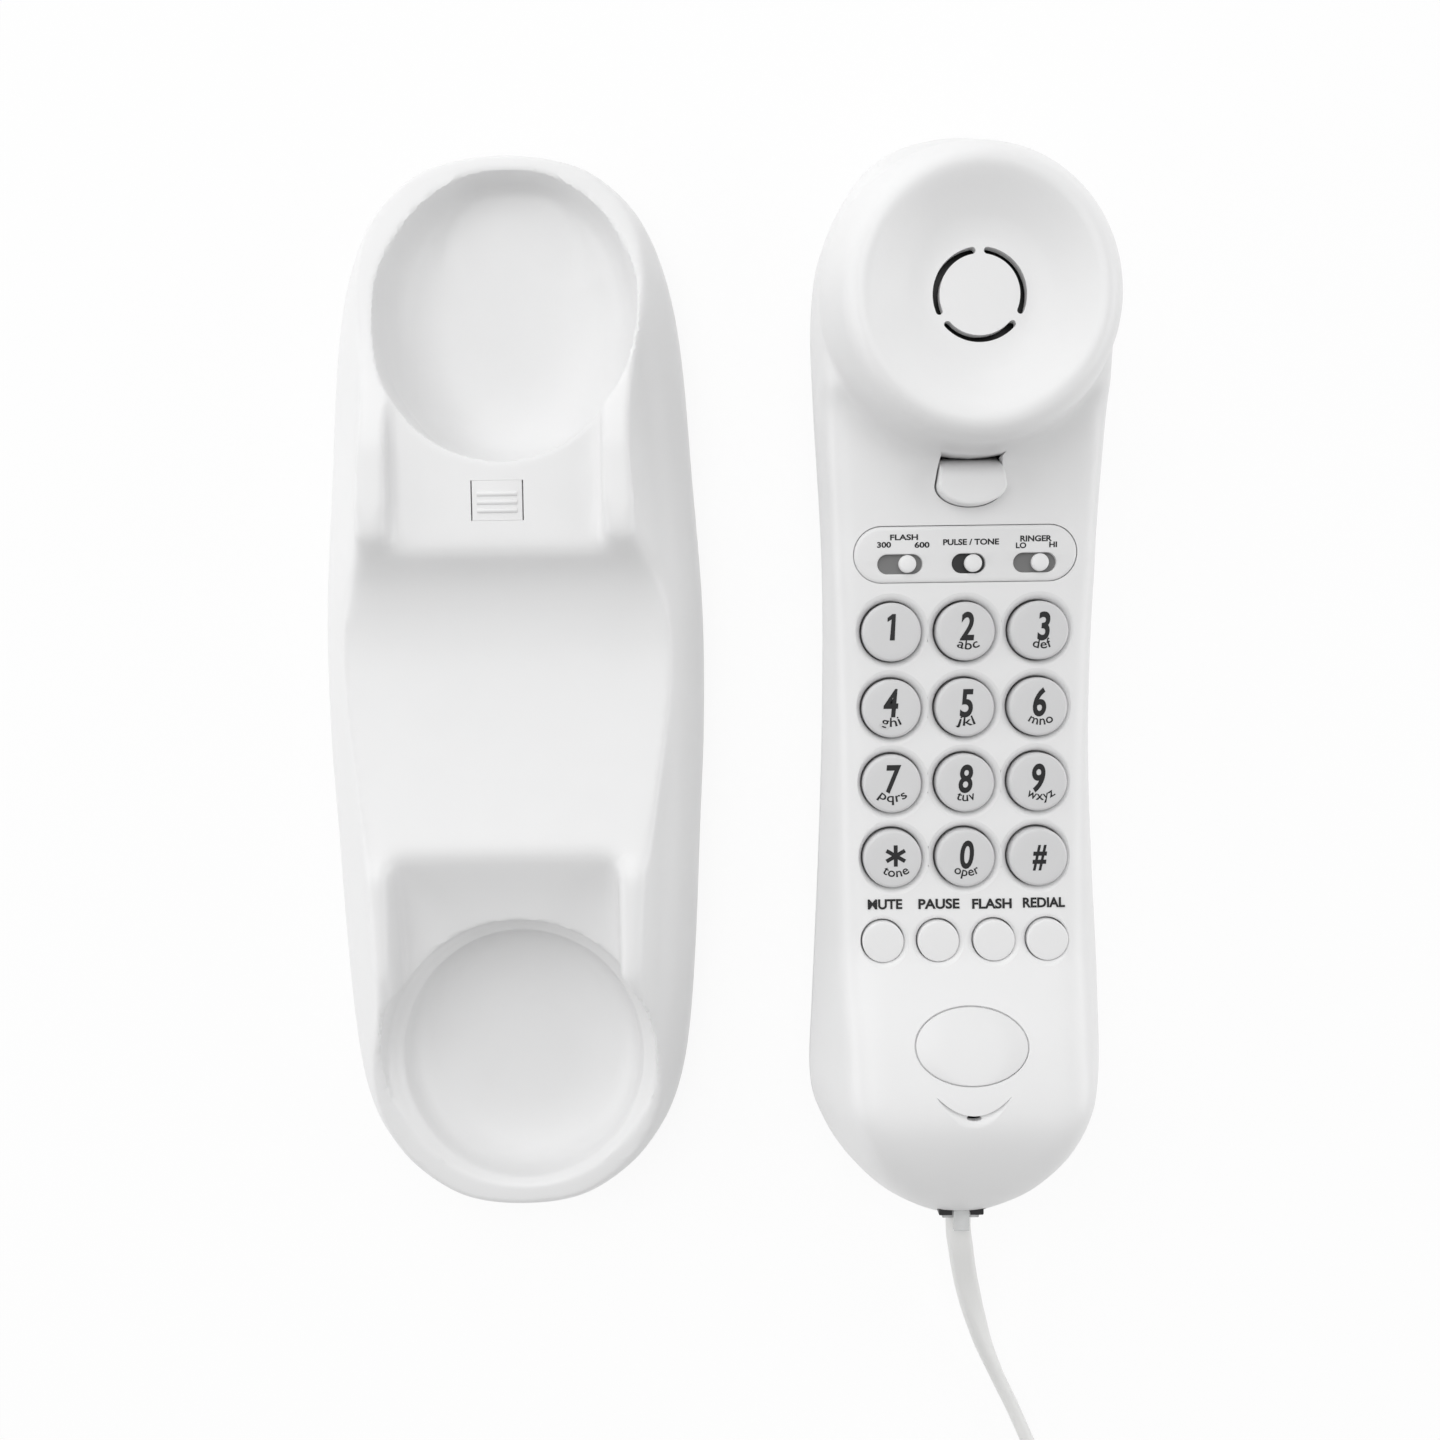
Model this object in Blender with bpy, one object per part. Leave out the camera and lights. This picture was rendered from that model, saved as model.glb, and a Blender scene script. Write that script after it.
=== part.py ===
"""Slimline wall phone: a wall base and a one-piece handset laid side by side, face up.

World frame: metres, +Z up, +Y towards the ear ends, origin under the centre of both pieces.
Every length below is written in millimetres and turned into metres by MM.
"""
import math

import bmesh
import bpy
import numpy as np
from mathutils import Vector

MM = 0.001

# ---- where the two pieces lie, millimetres ----
BASE_X = -40.6          # long axis of the base
HAND_X = 49.7           # long axis of the handset
SHIFT_Y = 2.35          # moves both so that the origin is under the middle

# ---- base ----
# Right half of the foot outline, from the ear end to the mouth end.
BASE_OUTLINE = [(0, 108.5), (12.4, 106.9), (20.6, 103.0), (28.1, 95.0), (32.9, 83), (35.6, 67.5),
                (37.4, 43), (39.2, 16), (39.2, -8), (38.1, -30), (36.8, -55), (35.2, -74),
                (33.0, -85.5), (29.4, -93.8), (22.8, -102), (12.6, -108.4), (0, -110.2)]
# How the rounded flanks lean in: (height, how far inside the outline).
FLANK = [(3.1, 0.2), (8, 0.4), (13, 1.2), (18, 3.8), (23, 7.8), (29, 10.2), (36, 11.5)]
# Height of the flanks' upper edge along the length: (y, z).
RAIL_LINE = [(116, 13), (108, 13.6), (100, 14.6), (92, 16.2), (84, 18.4), (76, 20.8), (70, 23),
             (64, 26), (58, 29.3), (52, 32.4), (47, 34.2), (43, 34.5), (30, 34.5), (27.5, 32.6),
             (25, 28.6), (22, 25.4), (18, 23.2), (12, 21.8), (4, 21.4), (-8, 22.5), (-22, 24.8),
             (-35, 27.8), (-36.5, 30), (-56, 30), (-60, 28.6), (-65, 25.8), (-70, 23),
             (-76, 20.4), (-83, 18.4), (-91, 17), (-100, 16), (-116, 15)]
UPPER_DECK_Z = 30       # deck between the upper rails
LOWER_DECK = [(-33.4, 27.2), (-48, 17.5), (-70, 15.5)]
UPPER_RAIL_X = 20.5     # inner face of the upper rails
LOWER_RAIL_X = 21.5
EAR_BOWL = [(0, 102.2), (10.3, 100.4), (19.6, 94), (25.4, 83), (26, 72), (22.5, 59.4), (13.5, 49.4),
            (0, 45.7)]
MOUTH_BOWL_X = 0.4
MOUTH_BOWL_Y = -75.0
MOUTH_BOWL_RX = 24.7
MOUTH_BOWL_RY = 25.6
BOWL_FLOOR_Z = 5.4
# How the bowls' walls fall: (height, how far inside the opening).
EAR_WALL = [(46, -0.9), (13, 0.1), (9.6, 2.2), (7, 6), (BOWL_FLOOR_Z, 12)]
MOUTH_WALL = [(46, -1.9), (18.5, -1.6), (15, -0.2), (9.8, 2.0), (7, 5.6), (BOWL_FLOOR_Z, 11.5)]
PLATE_Z = (0.8, 2.8)
PLATE_INSET = 1.2
HOLLOW = [(40, -1), (40, 26.5), (29, 26.5), (24, 18), (14, 17.5), (-22, 20.5), (-33, 23), (-46, 12),
          (-46, -1)]
HOLLOW_X = 24
KEYHOLE_Y = (34, -41)
KEYHOLE_HEAD_R = 4.2
KEYHOLE_NECK = 2.1
BASE_SCREWS = [(28.8, 74), (-28.8, 74), (28, -72), (-28, -72)]
BASE_FEET = [(20, 91), (-20, 91), (20, -93), (-20, -93)]
TAB_X = 4.9
TAB_Y = (32.3, 40.0)

# ---- handset ----
HAND_OUTLINE = [(0, 106), (10.4, 103.7), (20.0, 96.7), (26.6, 85), (28.7, 73), (28.1, 57),
                (26.8, 24.7), (26.9, -4), (27.9, -33), (29.6, -66), (30.2, -82), (27.6, -91),
                (21.8, -100.3), (12.6, -108.7), (0, -113)]
# Height of the face along the length, and of the joint between the two shells.
FACE_LINE = [(107, 24), (104, 28), (101.5, 32), (98, 34.5), (94, 36), (60, 36), (53, 33.6),
             (47, 32.2), (38, 31.1), (30, 30.3), (24, 29.9), (10, 28.8), (-5, 27.8), (-20, 27.5),
             (-35, 27.6), (-52, 28.6), (-60, 31), (-70, 34.6), (-82, 37.4), (-88, 37), (-95, 33.8),
             (-102, 29), (-108, 23.5), (-114, 18)]
SEAM_LINE = [(107, 21), (60, 21), (20, 17), (-60, 15.5), (-100, 12), (-114, 10.5)]
# Front shell contours: (part of the way from the seam to the face, how far inside the outline
# at the upright sides of the ear end, and at the sloping sides of the mouth end).
FRONT_LEVELS = [(0, 0, 0), (0.45, 0.2, 3.0), (0.78, 1.0, 5.6), (0.94, 2.6, 8.0), (1, 5.2, 11.5)]
SLOPE_FROM_Y = 20
SLOPE_TO_Y = -75
END_FROM_Y = -88        # the mouth end's tip gets upright again from here
END_SHARE = 0.45        # slope share left at the tip
# Back shell contours: (part of the way from the seam to the floor, how far inside the outline).
BACK_LEVELS = [(0, 0), (0.4, 0.5), (0.75, 2.5), (0.93, 5.5), (1, 10)]
WALL = 2.2
BACK_FLOOR = 3.0
SEAM_GAP = 0.3
# Ear cap contours: (z, centre y, half width, half length).
CAP_LEVELS = [(29, 70.4, 27.3, 31.4), (32.5, 71.4, 27.5, 30), (36, 72.0, 27.8, 28.8),
              (46, 70.4, 25.8, 27.1), (49.6, 70, 24.5, 25.8), (51.3, 69.8, 23.1, 24.4),
              (51.9, 69.6, 21.8, 23.0), (51.2, 69.7, 19.9, 21.0), (49, 69.9, 16.6, 17.4),
              (47, 70, 12.9, 13.5), (46.2, 70, 10, 10)]
CAP_BORE_R = 20.2
CAP_BORE_Z = (22, 44)
RING_X = 0.0
RING_Y = 70.1
RING_R = 7.9
RING_SLOT = 1.3
KEY_X = (-14.35, 0, 14.3)
KEY_Y = (9.8, -5.1, -19.9, -34.7)
KEY_NAMES = (("key_1", "key_2", "key_3"), ("key_4", "key_5", "key_6"), ("key_7", "key_8", "key_9"),
             ("key_star", "key_0", "key_hash"))
KEY_R = 5.7
KEY_RISE = 1.3
KEY_FLANGE_Z = (22.6, 23.4)
FUNCTION_KEYS = {"key_mute": -16.4, "key_pause": -5.5, "key_flash": 5.5, "key_redial": 16.0}
FUNCTION_Y = -51.1
FUNCTION_R = 3.9
KEY_GAP = 0.45
PANEL_Y = 24.65
PANEL_HALF = (21.7, 5.55)
PANEL_DEPTH = 1.3
SWITCH_Y = 22.8
# Slide switches: name, slot's left and right end, where the knob stands.
SWITCHES = [("flash_time", -17.0, -8.3, -11.3), ("dial_mode", -2.6, 3.9, 1.4),
            ("ringer_level", 9.3, 17.6, 14.3)]
SLOT_HALF = 2.0
KNOB_R = 1.75
PLUNGER_CENTRE_X = 0.8
PLUNGER_X = 6.5
PLUNGER_TOP_Y = 41.5
PLUNGER_SLOT_Y = 43.6   # far edge of the plunger's hole
PLUNGER_MID_Y = 37.6
PLUNGER_Z = (26.0, 34.6)
INLAY_Y = -70.6
INLAY_HALF = (10.8, 7.1)
MIC_Y = -83.8
JACK_Z = 17.6
JACK_Y = (-110.6, -97.0)
JACK_HALF = (4.6, 4.3)
HANDSET_PLUG_HALF = (3.8, 3.3)
WALL_PLUG_HALF = (4.8, 3.3)
HAND_SCREW_Y = (92.3, -93.5)

# ---- cord ----
CORD_D = 5.2
# Route of the free run from the plug, world millimetres.
CORD_ROUTE = [(49.7, -109.5, 17.6), (49.8, -112.0, 17.5), (50.3, -115.4, 16.8),
              (51.0, -119.4, 15.3), (51.9, -123.9, 13.4), (53.2, -129.2, 11.5),
              (54.8, -134.8, 9.4), (56.6, -140.5, 7.2), (58.7, -146.0, 5.2),
              (60.9, -151.3, 3.8), (63.9, -157.8, 2.9), (67.6, -166.5, 2.8),
              (71.8, -176.5, 3.0), (75.1, -186.5, 3.4), (76.8, -195.5, 3.9),
              (77.2, -202.6, 4.1)]
COIL_CENTRE = (41.2, -210.4)
COIL_OUTER = 36.0
COIL_PITCH = 5.75
COIL_LAYERS = 4
COIL_LAYER_TURNS = 2.5
COIL_FLOOR = 4.1
COIL_LEAD = 7.5
TAIL_ROUTE = [(33.4, -247.84, 21.35), (27, -247.8, 20.8), (18, -247.6, 17.2), (8, -247.0, 10.6),
              (-2, -246.0, 5.4), (-10, -244.7, 3.5), (-17.5, -243.4, 3.4)]


def reset_scene():
    for thing in list(bpy.data.objects):
        bpy.data.objects.remove(thing, do_unlink=True)


def plastic(name, colour, roughness=0.35, metallic=0.0):
    mat = bpy.data.materials.new(name)
    mat.use_nodes = True
    shader = mat.node_tree.nodes["Principled BSDF"]
    shader.inputs["Base Color"].default_value = (*colour, 1)
    shader.inputs["Roughness"].default_value = roughness
    shader.inputs["Metallic"].default_value = metallic
    return mat


def line_at(line, y):
    """Height of a (y, z) line at y; the line runs from high y to low y."""
    ys = [p[0] for p in reversed(line)]
    zs = [p[1] for p in reversed(line)]
    return float(np.interp(y, ys, zs))


def smooth_curve(points, steps):
    """Points read from a Catmull-Rom curve through the given ones, with mirrored end tangents."""
    pts = [np.array(p, float) for p in points]
    ends = [2 * pts[0] - pts[1], 2 * pts[-1] - pts[-2]]
    pts = [ends[0]] + pts + [ends[1]]
    out = []
    for i in range(1, len(pts) - 2):
        a, b, c, d = pts[i - 1:i + 3]
        for k in range(steps):
            t = k / steps
            out.append(0.5 * (2 * b + (c - a) * t + (2 * a - 5 * b + 4 * c - d) * t * t
                              + (3 * b - a - 3 * c + d) * t ** 3))
    out.append(pts[-2])
    return out


def mirrored_outline(right_half, steps=2):
    """Closed (x, y) outline from its right half, which starts and ends on the axis."""
    first = (-right_half[1][0], right_half[1][1])
    last = (-right_half[-2][0], right_half[-2][1])
    curve = smooth_curve([first] + list(right_half) + [last], steps)[steps:-steps]
    right = [(abs(p[0]) if 0 < i < len(curve) - 1 else 0.0, p[1]) for i, p in enumerate(curve)]
    return right + [(-x, y) for x, y in reversed(right[1:-1])]


def inset(ring, distance):
    """The outline moved inwards by the distance, along its normals."""
    count = len(ring)
    out = []
    for i, (x, y) in enumerate(ring):
        ax, ay = ring[i - 1]
        bx, by = ring[(i + 1) % count]
        length = math.hypot(bx - ax, by - ay)
        out.append((x + (by - ay) / length * distance, y - (bx - ax) / length * distance))
    return out


def ellipse(cx, cy, rx, ry, sides=32):
    """Outline that starts at the +Y end and runs clockwise, as the mirrored outlines do."""
    return [(cx + rx * math.sin(2 * math.pi * i / sides), cy + ry * math.cos(2 * math.pi * i / sides))
            for i in range(sides)]


def pill(cx, cy, half_x, half_y, sides=16):
    """A slot outline with round ends at left and right."""
    run = half_x - half_y
    out = []
    for i in range(sides):
        a = math.pi * (i / (sides - 1))
        out.append((cx + run + half_y * math.sin(a), cy + half_y * math.cos(a)))
    for i in range(sides):
        a = math.pi * (1 + i / (sides - 1))
        out.append((cx - run + half_y * math.sin(a), cy + half_y * math.cos(a)))
    return out


def box_ring(x0, x1, y0, y1):
    return [(x1, y1), (x1, y0), (x0, y0), (x0, y1)]


def flat(ring, z):
    return [(x, y, z) for x, y in ring]


def new_object(name, bm, mat, pivot=(0, 0, 0), smooth=True):
    """Object from a mesh in millimetres, its origin on the pivot and its faces pointing out."""
    bmesh.ops.recalc_face_normals(bm, faces=bm.faces)
    pivot = Vector(pivot)
    for vert in bm.verts:
        vert.co = (vert.co - pivot) * MM
    mesh = bpy.data.meshes.new(name)
    bm.to_mesh(mesh)
    bm.free()
    obj = bpy.data.objects.new(name, mesh)
    bpy.context.collection.objects.link(obj)
    obj.location = pivot * MM
    if mat:
        mesh.materials.append(mat)
    if smooth:
        mesh.shade_smooth()
        mesh.set_sharp_from_angle(angle=math.radians(35))
    return obj


def add_loft(bm, rings, offset, closed=False):
    """Skin through rings of (x, y, z); ends are filled unless the last ring meets the first."""
    ox, oy = offset
    rows = [[bm.verts.new((x + ox, y + oy, z)) for x, y, z in ring] for ring in rings]
    count = len(rows[0])
    pairs = list(zip(rows, rows[1:]))
    if closed:
        pairs.append((rows[-1], rows[0]))
    for low, high in pairs:
        for i in range(count):
            j = (i + 1) % count
            bm.faces.new((low[i], low[j], high[j], high[i]))
    return rows


def fill_strips(bm, row):
    """Fill a mirrored ring with strips that run straight across, so it can follow a bent face."""
    count = len(row)
    half = count // 2
    bm.faces.new((row[0], row[1], row[count - 1]))
    for i in range(1, half - 1):
        bm.faces.new((row[i], row[i + 1], row[count - i - 1], row[count - i]))
    bm.faces.new((row[half - 1], row[half], row[half + 1]))


def fill_flat(bm, row):
    bm.faces.new(row)


def loft(name, rings, mat, offset, pivot=(0, 0, 0), bent=False):
    bm = bmesh.new()
    rows = add_loft(bm, rings, offset)
    fill = fill_strips if bent else fill_flat
    fill(bm, rows[0])
    fill(bm, rows[-1])
    return new_object(name, bm, mat, pivot)


def prism(name, ring, z0, z1, mat, offset, pivot=(0, 0, 0)):
    return loft(name, [flat(ring, z0), flat(ring, z1)], mat, offset, pivot)


def side_prism(name, profile, x0, x1, offset):
    """A (y, z) profile extruded across X."""
    bm = bmesh.new()
    rows = []
    for x in (x0, x1):
        rows.append([bm.verts.new((x + offset[0], y + offset[1], z)) for y, z in profile])
    for i in range(len(profile)):
        j = (i + 1) % len(profile)
        bm.faces.new((rows[0][i], rows[0][j], rows[1][j], rows[1][i]))
    fill_flat(bm, rows[0])
    fill_flat(bm, rows[1])
    return new_object(name, bm, None)


def group_cutter(name, shapes, offset):
    """One cutter from several (ring, z0, z1) prisms that don't touch each other."""
    bm = bmesh.new()
    for ring, z0, z1 in shapes:
        rows = add_loft(bm, [flat(ring, z0), flat(ring, z1)], offset)
        fill_flat(bm, rows[0])
        fill_flat(bm, rows[1])
    return new_object(name, bm, None)


def combine(target, other, operation="DIFFERENCE"):
    other.hide_render = True
    other.display_type = "WIRE"
    step = target.modifiers.new(other.name, "BOOLEAN")
    step.operation = operation
    step.solver = "EXACT"
    step.object = other


def turned(name, profile, centre, mat, sides=24, pivot=(0, 0, 0)):
    """Solid of revolution about +Z from (radius, z) pairs; ends off the axis are filled flat."""
    cx, cy = centre
    rings = [flat(ellipse(cx, cy, r, r, sides), z) for r, z in profile]
    return loft(name, rings, mat, (0, 0), pivot)


# ---------------------------------------------------------------- base

BASE = (BASE_X, SHIFT_Y)
HAND = (HAND_X, SHIFT_Y)


def make_cradle_shell(mat):
    foot = mirrored_outline(BASE_OUTLINE)
    shell = loft("cradle_shell", [flat(inset(foot, d), z) for z, d in FLANK], mat, BASE)
    above = [(116, 60), (-116, 60)] + list(reversed(RAIL_LINE))
    combine(shell, side_prism("cut_above_rails", above, -60, 60, BASE))
    deck = [(21, UPPER_DECK_Z), (21, 60), (64, 60), (64, UPPER_DECK_Z)]
    combine(shell, side_prism("cut_upper_deck", deck, -UPPER_RAIL_X, UPPER_RAIL_X, BASE))
    lower = [(-33, 60)] + LOWER_DECK + [(-70, 60)]
    combine(shell, side_prism("cut_lower_deck", lower, -LOWER_RAIL_X, LOWER_RAIL_X, BASE))
    ear = mirrored_outline(EAR_BOWL, 3)
    combine(shell, loft("cut_ear_bowl", [flat(inset(ear, d), z) for z, d in EAR_WALL], None, BASE))
    mouth = ellipse(MOUTH_BOWL_X, MOUTH_BOWL_Y, MOUTH_BOWL_RX, MOUTH_BOWL_RY, 40)
    combine(shell, loft("cut_mouth_bowl", [flat(inset(mouth, d), z) for z, d in MOUTH_WALL], None,
                        BASE))
    combine(shell, side_prism("cut_hollow", HOLLOW, -HOLLOW_X, HOLLOW_X, BASE))
    gap = 0.4
    slot = box_ring(-TAB_X - gap, TAB_X + gap, TAB_Y[0] - gap, TAB_Y[1] + gap)
    combine(shell, group_cutter("cut_tab_slot", [(slot, 20, 50)], BASE))
    holes = [(ellipse(x, y, 1.5, 1.5, 16), -1, 8.5) for x, y in BASE_SCREWS]
    combine(shell, group_cutter("cut_screw_holes", holes, BASE))
    return shell


def keyhole(y):
    """Wall keyhole outline: round head below, narrow neck above."""
    out = [(KEYHOLE_NECK, y + 8)]
    start = math.asin(KEYHOLE_NECK / KEYHOLE_HEAD_R)
    for i in range(17):
        a = start + (2 * math.pi - 2 * start) * i / 16
        out.append((KEYHOLE_HEAD_R * math.sin(a), y + KEYHOLE_HEAD_R * math.cos(a)))
    out.append((-KEYHOLE_NECK, y + 8))
    return out


def make_base_plate(mat):
    foot = mirrored_outline(BASE_OUTLINE)
    edge = inset(foot, PLATE_INSET)
    plate = prism("base_plate", edge, PLATE_Z[0], PLATE_Z[1], mat, BASE)
    holes = [(keyhole(y), -1, 4) for y in KEYHOLE_Y]
    holes += [(ellipse(x, y, 1.5, 1.5, 16), -1, 4) for x, y in BASE_SCREWS]
    combine(plate, group_cutter("cut_plate_holes", holes, BASE))
    heads = [(ellipse(x, y, 3.1, 3.1, 20), -1, 1.9) for x, y in BASE_SCREWS]
    combine(plate, group_cutter("cut_plate_heads", heads, BASE))
    return plate


def make_base_fittings(rubber, steel):
    weight = box_ring(-18, 18, -26, 20)
    prism("base_weight", weight, 3.1, 9.1, steel, BASE)
    sides = ("upper_right", "upper_left", "lower_right", "lower_left")
    for side, (x, y) in zip(sides, BASE_FEET):
        turned(f"base_foot_{side}", [(4.2, 0), (4.5, 0.2), (4.5, 0.5)],
               (x + BASE_X, y + SHIFT_Y), rubber, 20)
    for side, (x, y) in zip(sides, BASE_SCREWS):
        make_screw(f"base_screw_{side}", (x + BASE_X, y + SHIFT_Y), 0.9, 7.6, 2.7, steel)


def make_screw(name, centre, z_head, z_tip, head_r, mat):
    profile = [(head_r - 0.3, z_head), (head_r, z_head + 0.3), (1.15, z_head + 0.95),
               (1.15, z_tip - 0.8), (0.5, z_tip)]
    return turned(name, profile, centre, mat, 12)


def make_retaining_tab(mat):
    """Clip that is drawn out and turned round, so that the handset hangs on a wall."""
    y0, y1 = TAB_Y
    top = UPPER_DECK_Z + 0.2
    profile = [(y0, top), (y0, 27), (y0 + 1.6, 27), (y0 + 1.6, 17), (y1 - 1.6, 17), (y1 - 1.6, 27),
               (y1, 27), (y1, top)]
    rib_pitch = (y1 - y0) / 4
    for k in range(3):
        y = y1 - rib_pitch * (k + 1)
        profile += [(y + 0.55, top), (y + 0.35, top + 0.4), (y - 0.35, top + 0.4), (y - 0.55, top)]
    bm = bmesh.new()
    rows = []
    for x in (-TAB_X, TAB_X):
        rows.append([bm.verts.new((x + BASE_X, y + SHIFT_Y, z)) for y, z in profile])
    for i in range(len(profile)):
        j = (i + 1) % len(profile)
        bm.faces.new((rows[0][i], rows[0][j], rows[1][j], rows[1][i]))
    fill_flat(bm, rows[0])
    fill_flat(bm, rows[1])
    return new_object("retaining_tab", bm, mat, (BASE_X, (y0 + y1) / 2 + SHIFT_Y, top))


# ---------------------------------------------------------------- handset shells


def face_z(y):
    return line_at(FACE_LINE, y)


def seam_z(y):
    return line_at(SEAM_LINE, y)


def slope_share(y):
    """How much of the mouth end's side slope the front shell has at y."""
    share = min(1.0, max(0.0, (SLOPE_FROM_Y - y) / (SLOPE_FROM_Y - SLOPE_TO_Y)))
    past = max(0.0, (END_FROM_Y - y) / (END_FROM_Y - HAND_OUTLINE[-1][1]))
    return share * (1 - past * (1 - END_SHARE))


def front_ring(outline, level, wall):
    """One contour of the front shell, moved in by the wall for its inside."""
    part, upright, sloping = level
    steep = inset(outline, upright + wall)
    gentle = inset(outline, sloping + wall)
    out = []
    for (x0, y0), (x1, y1) in zip(steep, gentle):
        share = slope_share(y0)
        x = x0 + share * (x1 - x0)
        y = y0 + share * (y1 - y0)
        low = seam_z(y) + SEAM_GAP / 2
        high = face_z(y) - wall
        out.append((x, y, low + part * (high - low)))
    return out


def back_ring(outline, level, wall, floor):
    part, step = level
    ring = inset(outline, step + wall)
    out = []
    for x, y in ring:
        high = seam_z(y) - SEAM_GAP / 2
        out.append((x, y, high + part * (floor - high)))
    return out


def cup(name, outer, inner, mat):
    """Open shell: outer contours from the rim to the face, inner ones back to the rim."""
    bm = bmesh.new()
    rows_out = add_loft(bm, outer, HAND)
    rows_in = add_loft(bm, inner, HAND)
    fill_strips(bm, rows_out[-1])
    fill_strips(bm, rows_in[-1])
    count = len(rows_out[0])
    for i in range(count):
        j = (i + 1) % count
        bm.faces.new((rows_out[0][i], rows_out[0][j], rows_in[0][j], rows_in[0][i]))
    return new_object(name, bm, mat)


def arc_slot(start, end, steps=8):
    """One of the ear cap's curved slots, between two angles in degrees."""
    angles = [math.radians(start + (end - start) * i / steps) for i in range(steps + 1)]
    outer = RING_R + RING_SLOT / 2
    inner = RING_R - RING_SLOT / 2
    ring = [(RING_X + outer * math.cos(a), RING_Y + outer * math.sin(a)) for a in angles]
    ring += [(RING_X + inner * math.cos(a), RING_Y + inner * math.sin(a)) for a in reversed(angles)]
    return ring


def plunger_outline(grow, top):
    """D outline: straight edge towards the ear cap, round end towards the keys."""
    cx = PLUNGER_CENTRE_X
    x = PLUNGER_X + grow
    drop = 4.0 + grow
    steps = 10
    ring = [(cx - x + 0.9, top), (cx + x - 0.9, top)]
    for i in range(steps + 1):
        a = math.pi * i / steps
        ring.append((cx + x * math.cos(a), PLUNGER_MID_Y - drop * math.sin(a)))
    return ring


def make_handset_front(mat):
    outline = mirrored_outline(HAND_OUTLINE)
    outer = [front_ring(outline, level, 0) for level in FRONT_LEVELS]
    inner = [front_ring(outline, level, WALL) for level in FRONT_LEVELS]
    front = cup("handset_front", outer, inner, mat)
    cap = loft("join_ear_cap", [flat(ellipse(0, y, rx, ry, 36), z) for z, y, rx, ry in CAP_LEVELS],
               None, HAND)
    combine(front, cap, "UNION")
    for index, y in enumerate(HAND_SCREW_Y):
        boss = prism(f"join_boss_{index}", ellipse(0, y, 3, 3, 16), 5.5, face_z(y) - 1, None, HAND)
        combine(front, boss, "UNION")
    through = [(ellipse(0, 69.5, CAP_BORE_R, CAP_BORE_R, 36), *CAP_BORE_Z)]
    through += [(ellipse(0, y, 1.6, 1.6, 12), 0, 15) for y in HAND_SCREW_Y]
    for y in KEY_Y:
        through += [(ellipse(x, y, KEY_R + KEY_GAP, KEY_R + KEY_GAP, 20), 20, 40) for x in KEY_X]
    function_hole = FUNCTION_R + KEY_GAP
    through += [(ellipse(x, FUNCTION_Y, function_hole, function_hole, 16), 20, 40)
                for x in FUNCTION_KEYS.values()]
    for _, left, right, _ in SWITCHES:
        slot = pill((left + right) / 2, SWITCH_Y, (right - left) / 2 + 0.5, SLOT_HALF + 0.5, 7)
        through.append((slot, 20, 40))
    through.append((plunger_outline(0.4, PLUNGER_SLOT_Y), 18, 42))
    through.append((ellipse(0, MIC_Y, 1.4, 0.9, 12), 20, 45))
    combine(front, group_cutter("cut_front_holes", through, HAND))
    slots = [arc_slot(100, 202), arc_slot(222, 318), arc_slot(338, 440)]
    combine(front, group_cutter("cut_ear_slots", [(ring, 43, 50) for ring in slots], HAND))
    seats = [(pill(0, PANEL_Y, PANEL_HALF[0] + 0.3, PANEL_HALF[1] + 0.3, 9),
              face_z(PANEL_Y) - PANEL_DEPTH, 40)]
    combine(front, group_cutter("cut_panel_seat", seats, HAND))
    combine(front, bent_plate("cut_inlay_seat", 0.3, -1.3, 6, None))
    combine(front, jack_cutter("cut_jack_front"))
    return front


def bent_plate(name, grow, low, high, mat):
    """Oval plate that follows the face under the keys, between two heights from the face."""
    ring = ellipse(0, INLAY_Y, INLAY_HALF[0] + grow, INLAY_HALF[1] + grow, 32)
    rings = [[(x, y, face_z(y) + h) for x, y in ring] for h in (low, high)]
    return loft(name, rings, mat, HAND, bent=True)


def jack_cutter(name):
    half_x, half_z = JACK_HALF
    ring = box_ring(-half_x - 0.3, half_x + 0.3, -120, JACK_Y[1] + 0.3)
    return group_cutter(name, [(ring, JACK_Z - half_z - 0.3, JACK_Z + half_z + 0.3)], HAND)


def make_handset_back(mat):
    outline = mirrored_outline(HAND_OUTLINE)
    outer = [back_ring(outline, level, 0, 0) for level in BACK_LEVELS]
    inner = [back_ring(outline, level, WALL, BACK_FLOOR) for level in BACK_LEVELS]
    back = cup("handset_back", outer, inner, mat)
    holes = [(ellipse(0, y, 1.6, 1.6, 12), -1, 5) for y in HAND_SCREW_Y]
    combine(back, group_cutter("cut_back_holes", holes, HAND))
    heads = [(ellipse(0, y, 3.2, 3.2, 20), -1, 1.8) for y in HAND_SCREW_Y]
    combine(back, group_cutter("cut_back_heads", heads, HAND))
    combine(back, jack_cutter("cut_jack_back"))
    return back


# ---------------------------------------------------------------- keys, switches and hook


def make_key(name, x, y, radius, rise, mat):
    """Key cap with a flange under the face that keeps it in."""
    top = face_z(y) + rise
    low, high = KEY_FLANGE_Z
    profile = [(radius + 0.8, low), (radius + 0.8, high), (radius, high), (radius, top - 0.5),
               (radius - 0.5, top)]
    centre = (x + HAND_X, y + SHIFT_Y)
    return turned(name, profile, centre, mat, 20, (*centre, top))


def make_keys(key_mat, function_mat):
    for y, names in zip(KEY_Y, KEY_NAMES):
        for x, name in zip(KEY_X, names):
            make_key(name, x, y, KEY_R, KEY_RISE, key_mat)
    for name, x in FUNCTION_KEYS.items():
        make_key(name, x, FUNCTION_Y, FUNCTION_R, 0.9, function_mat)


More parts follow.
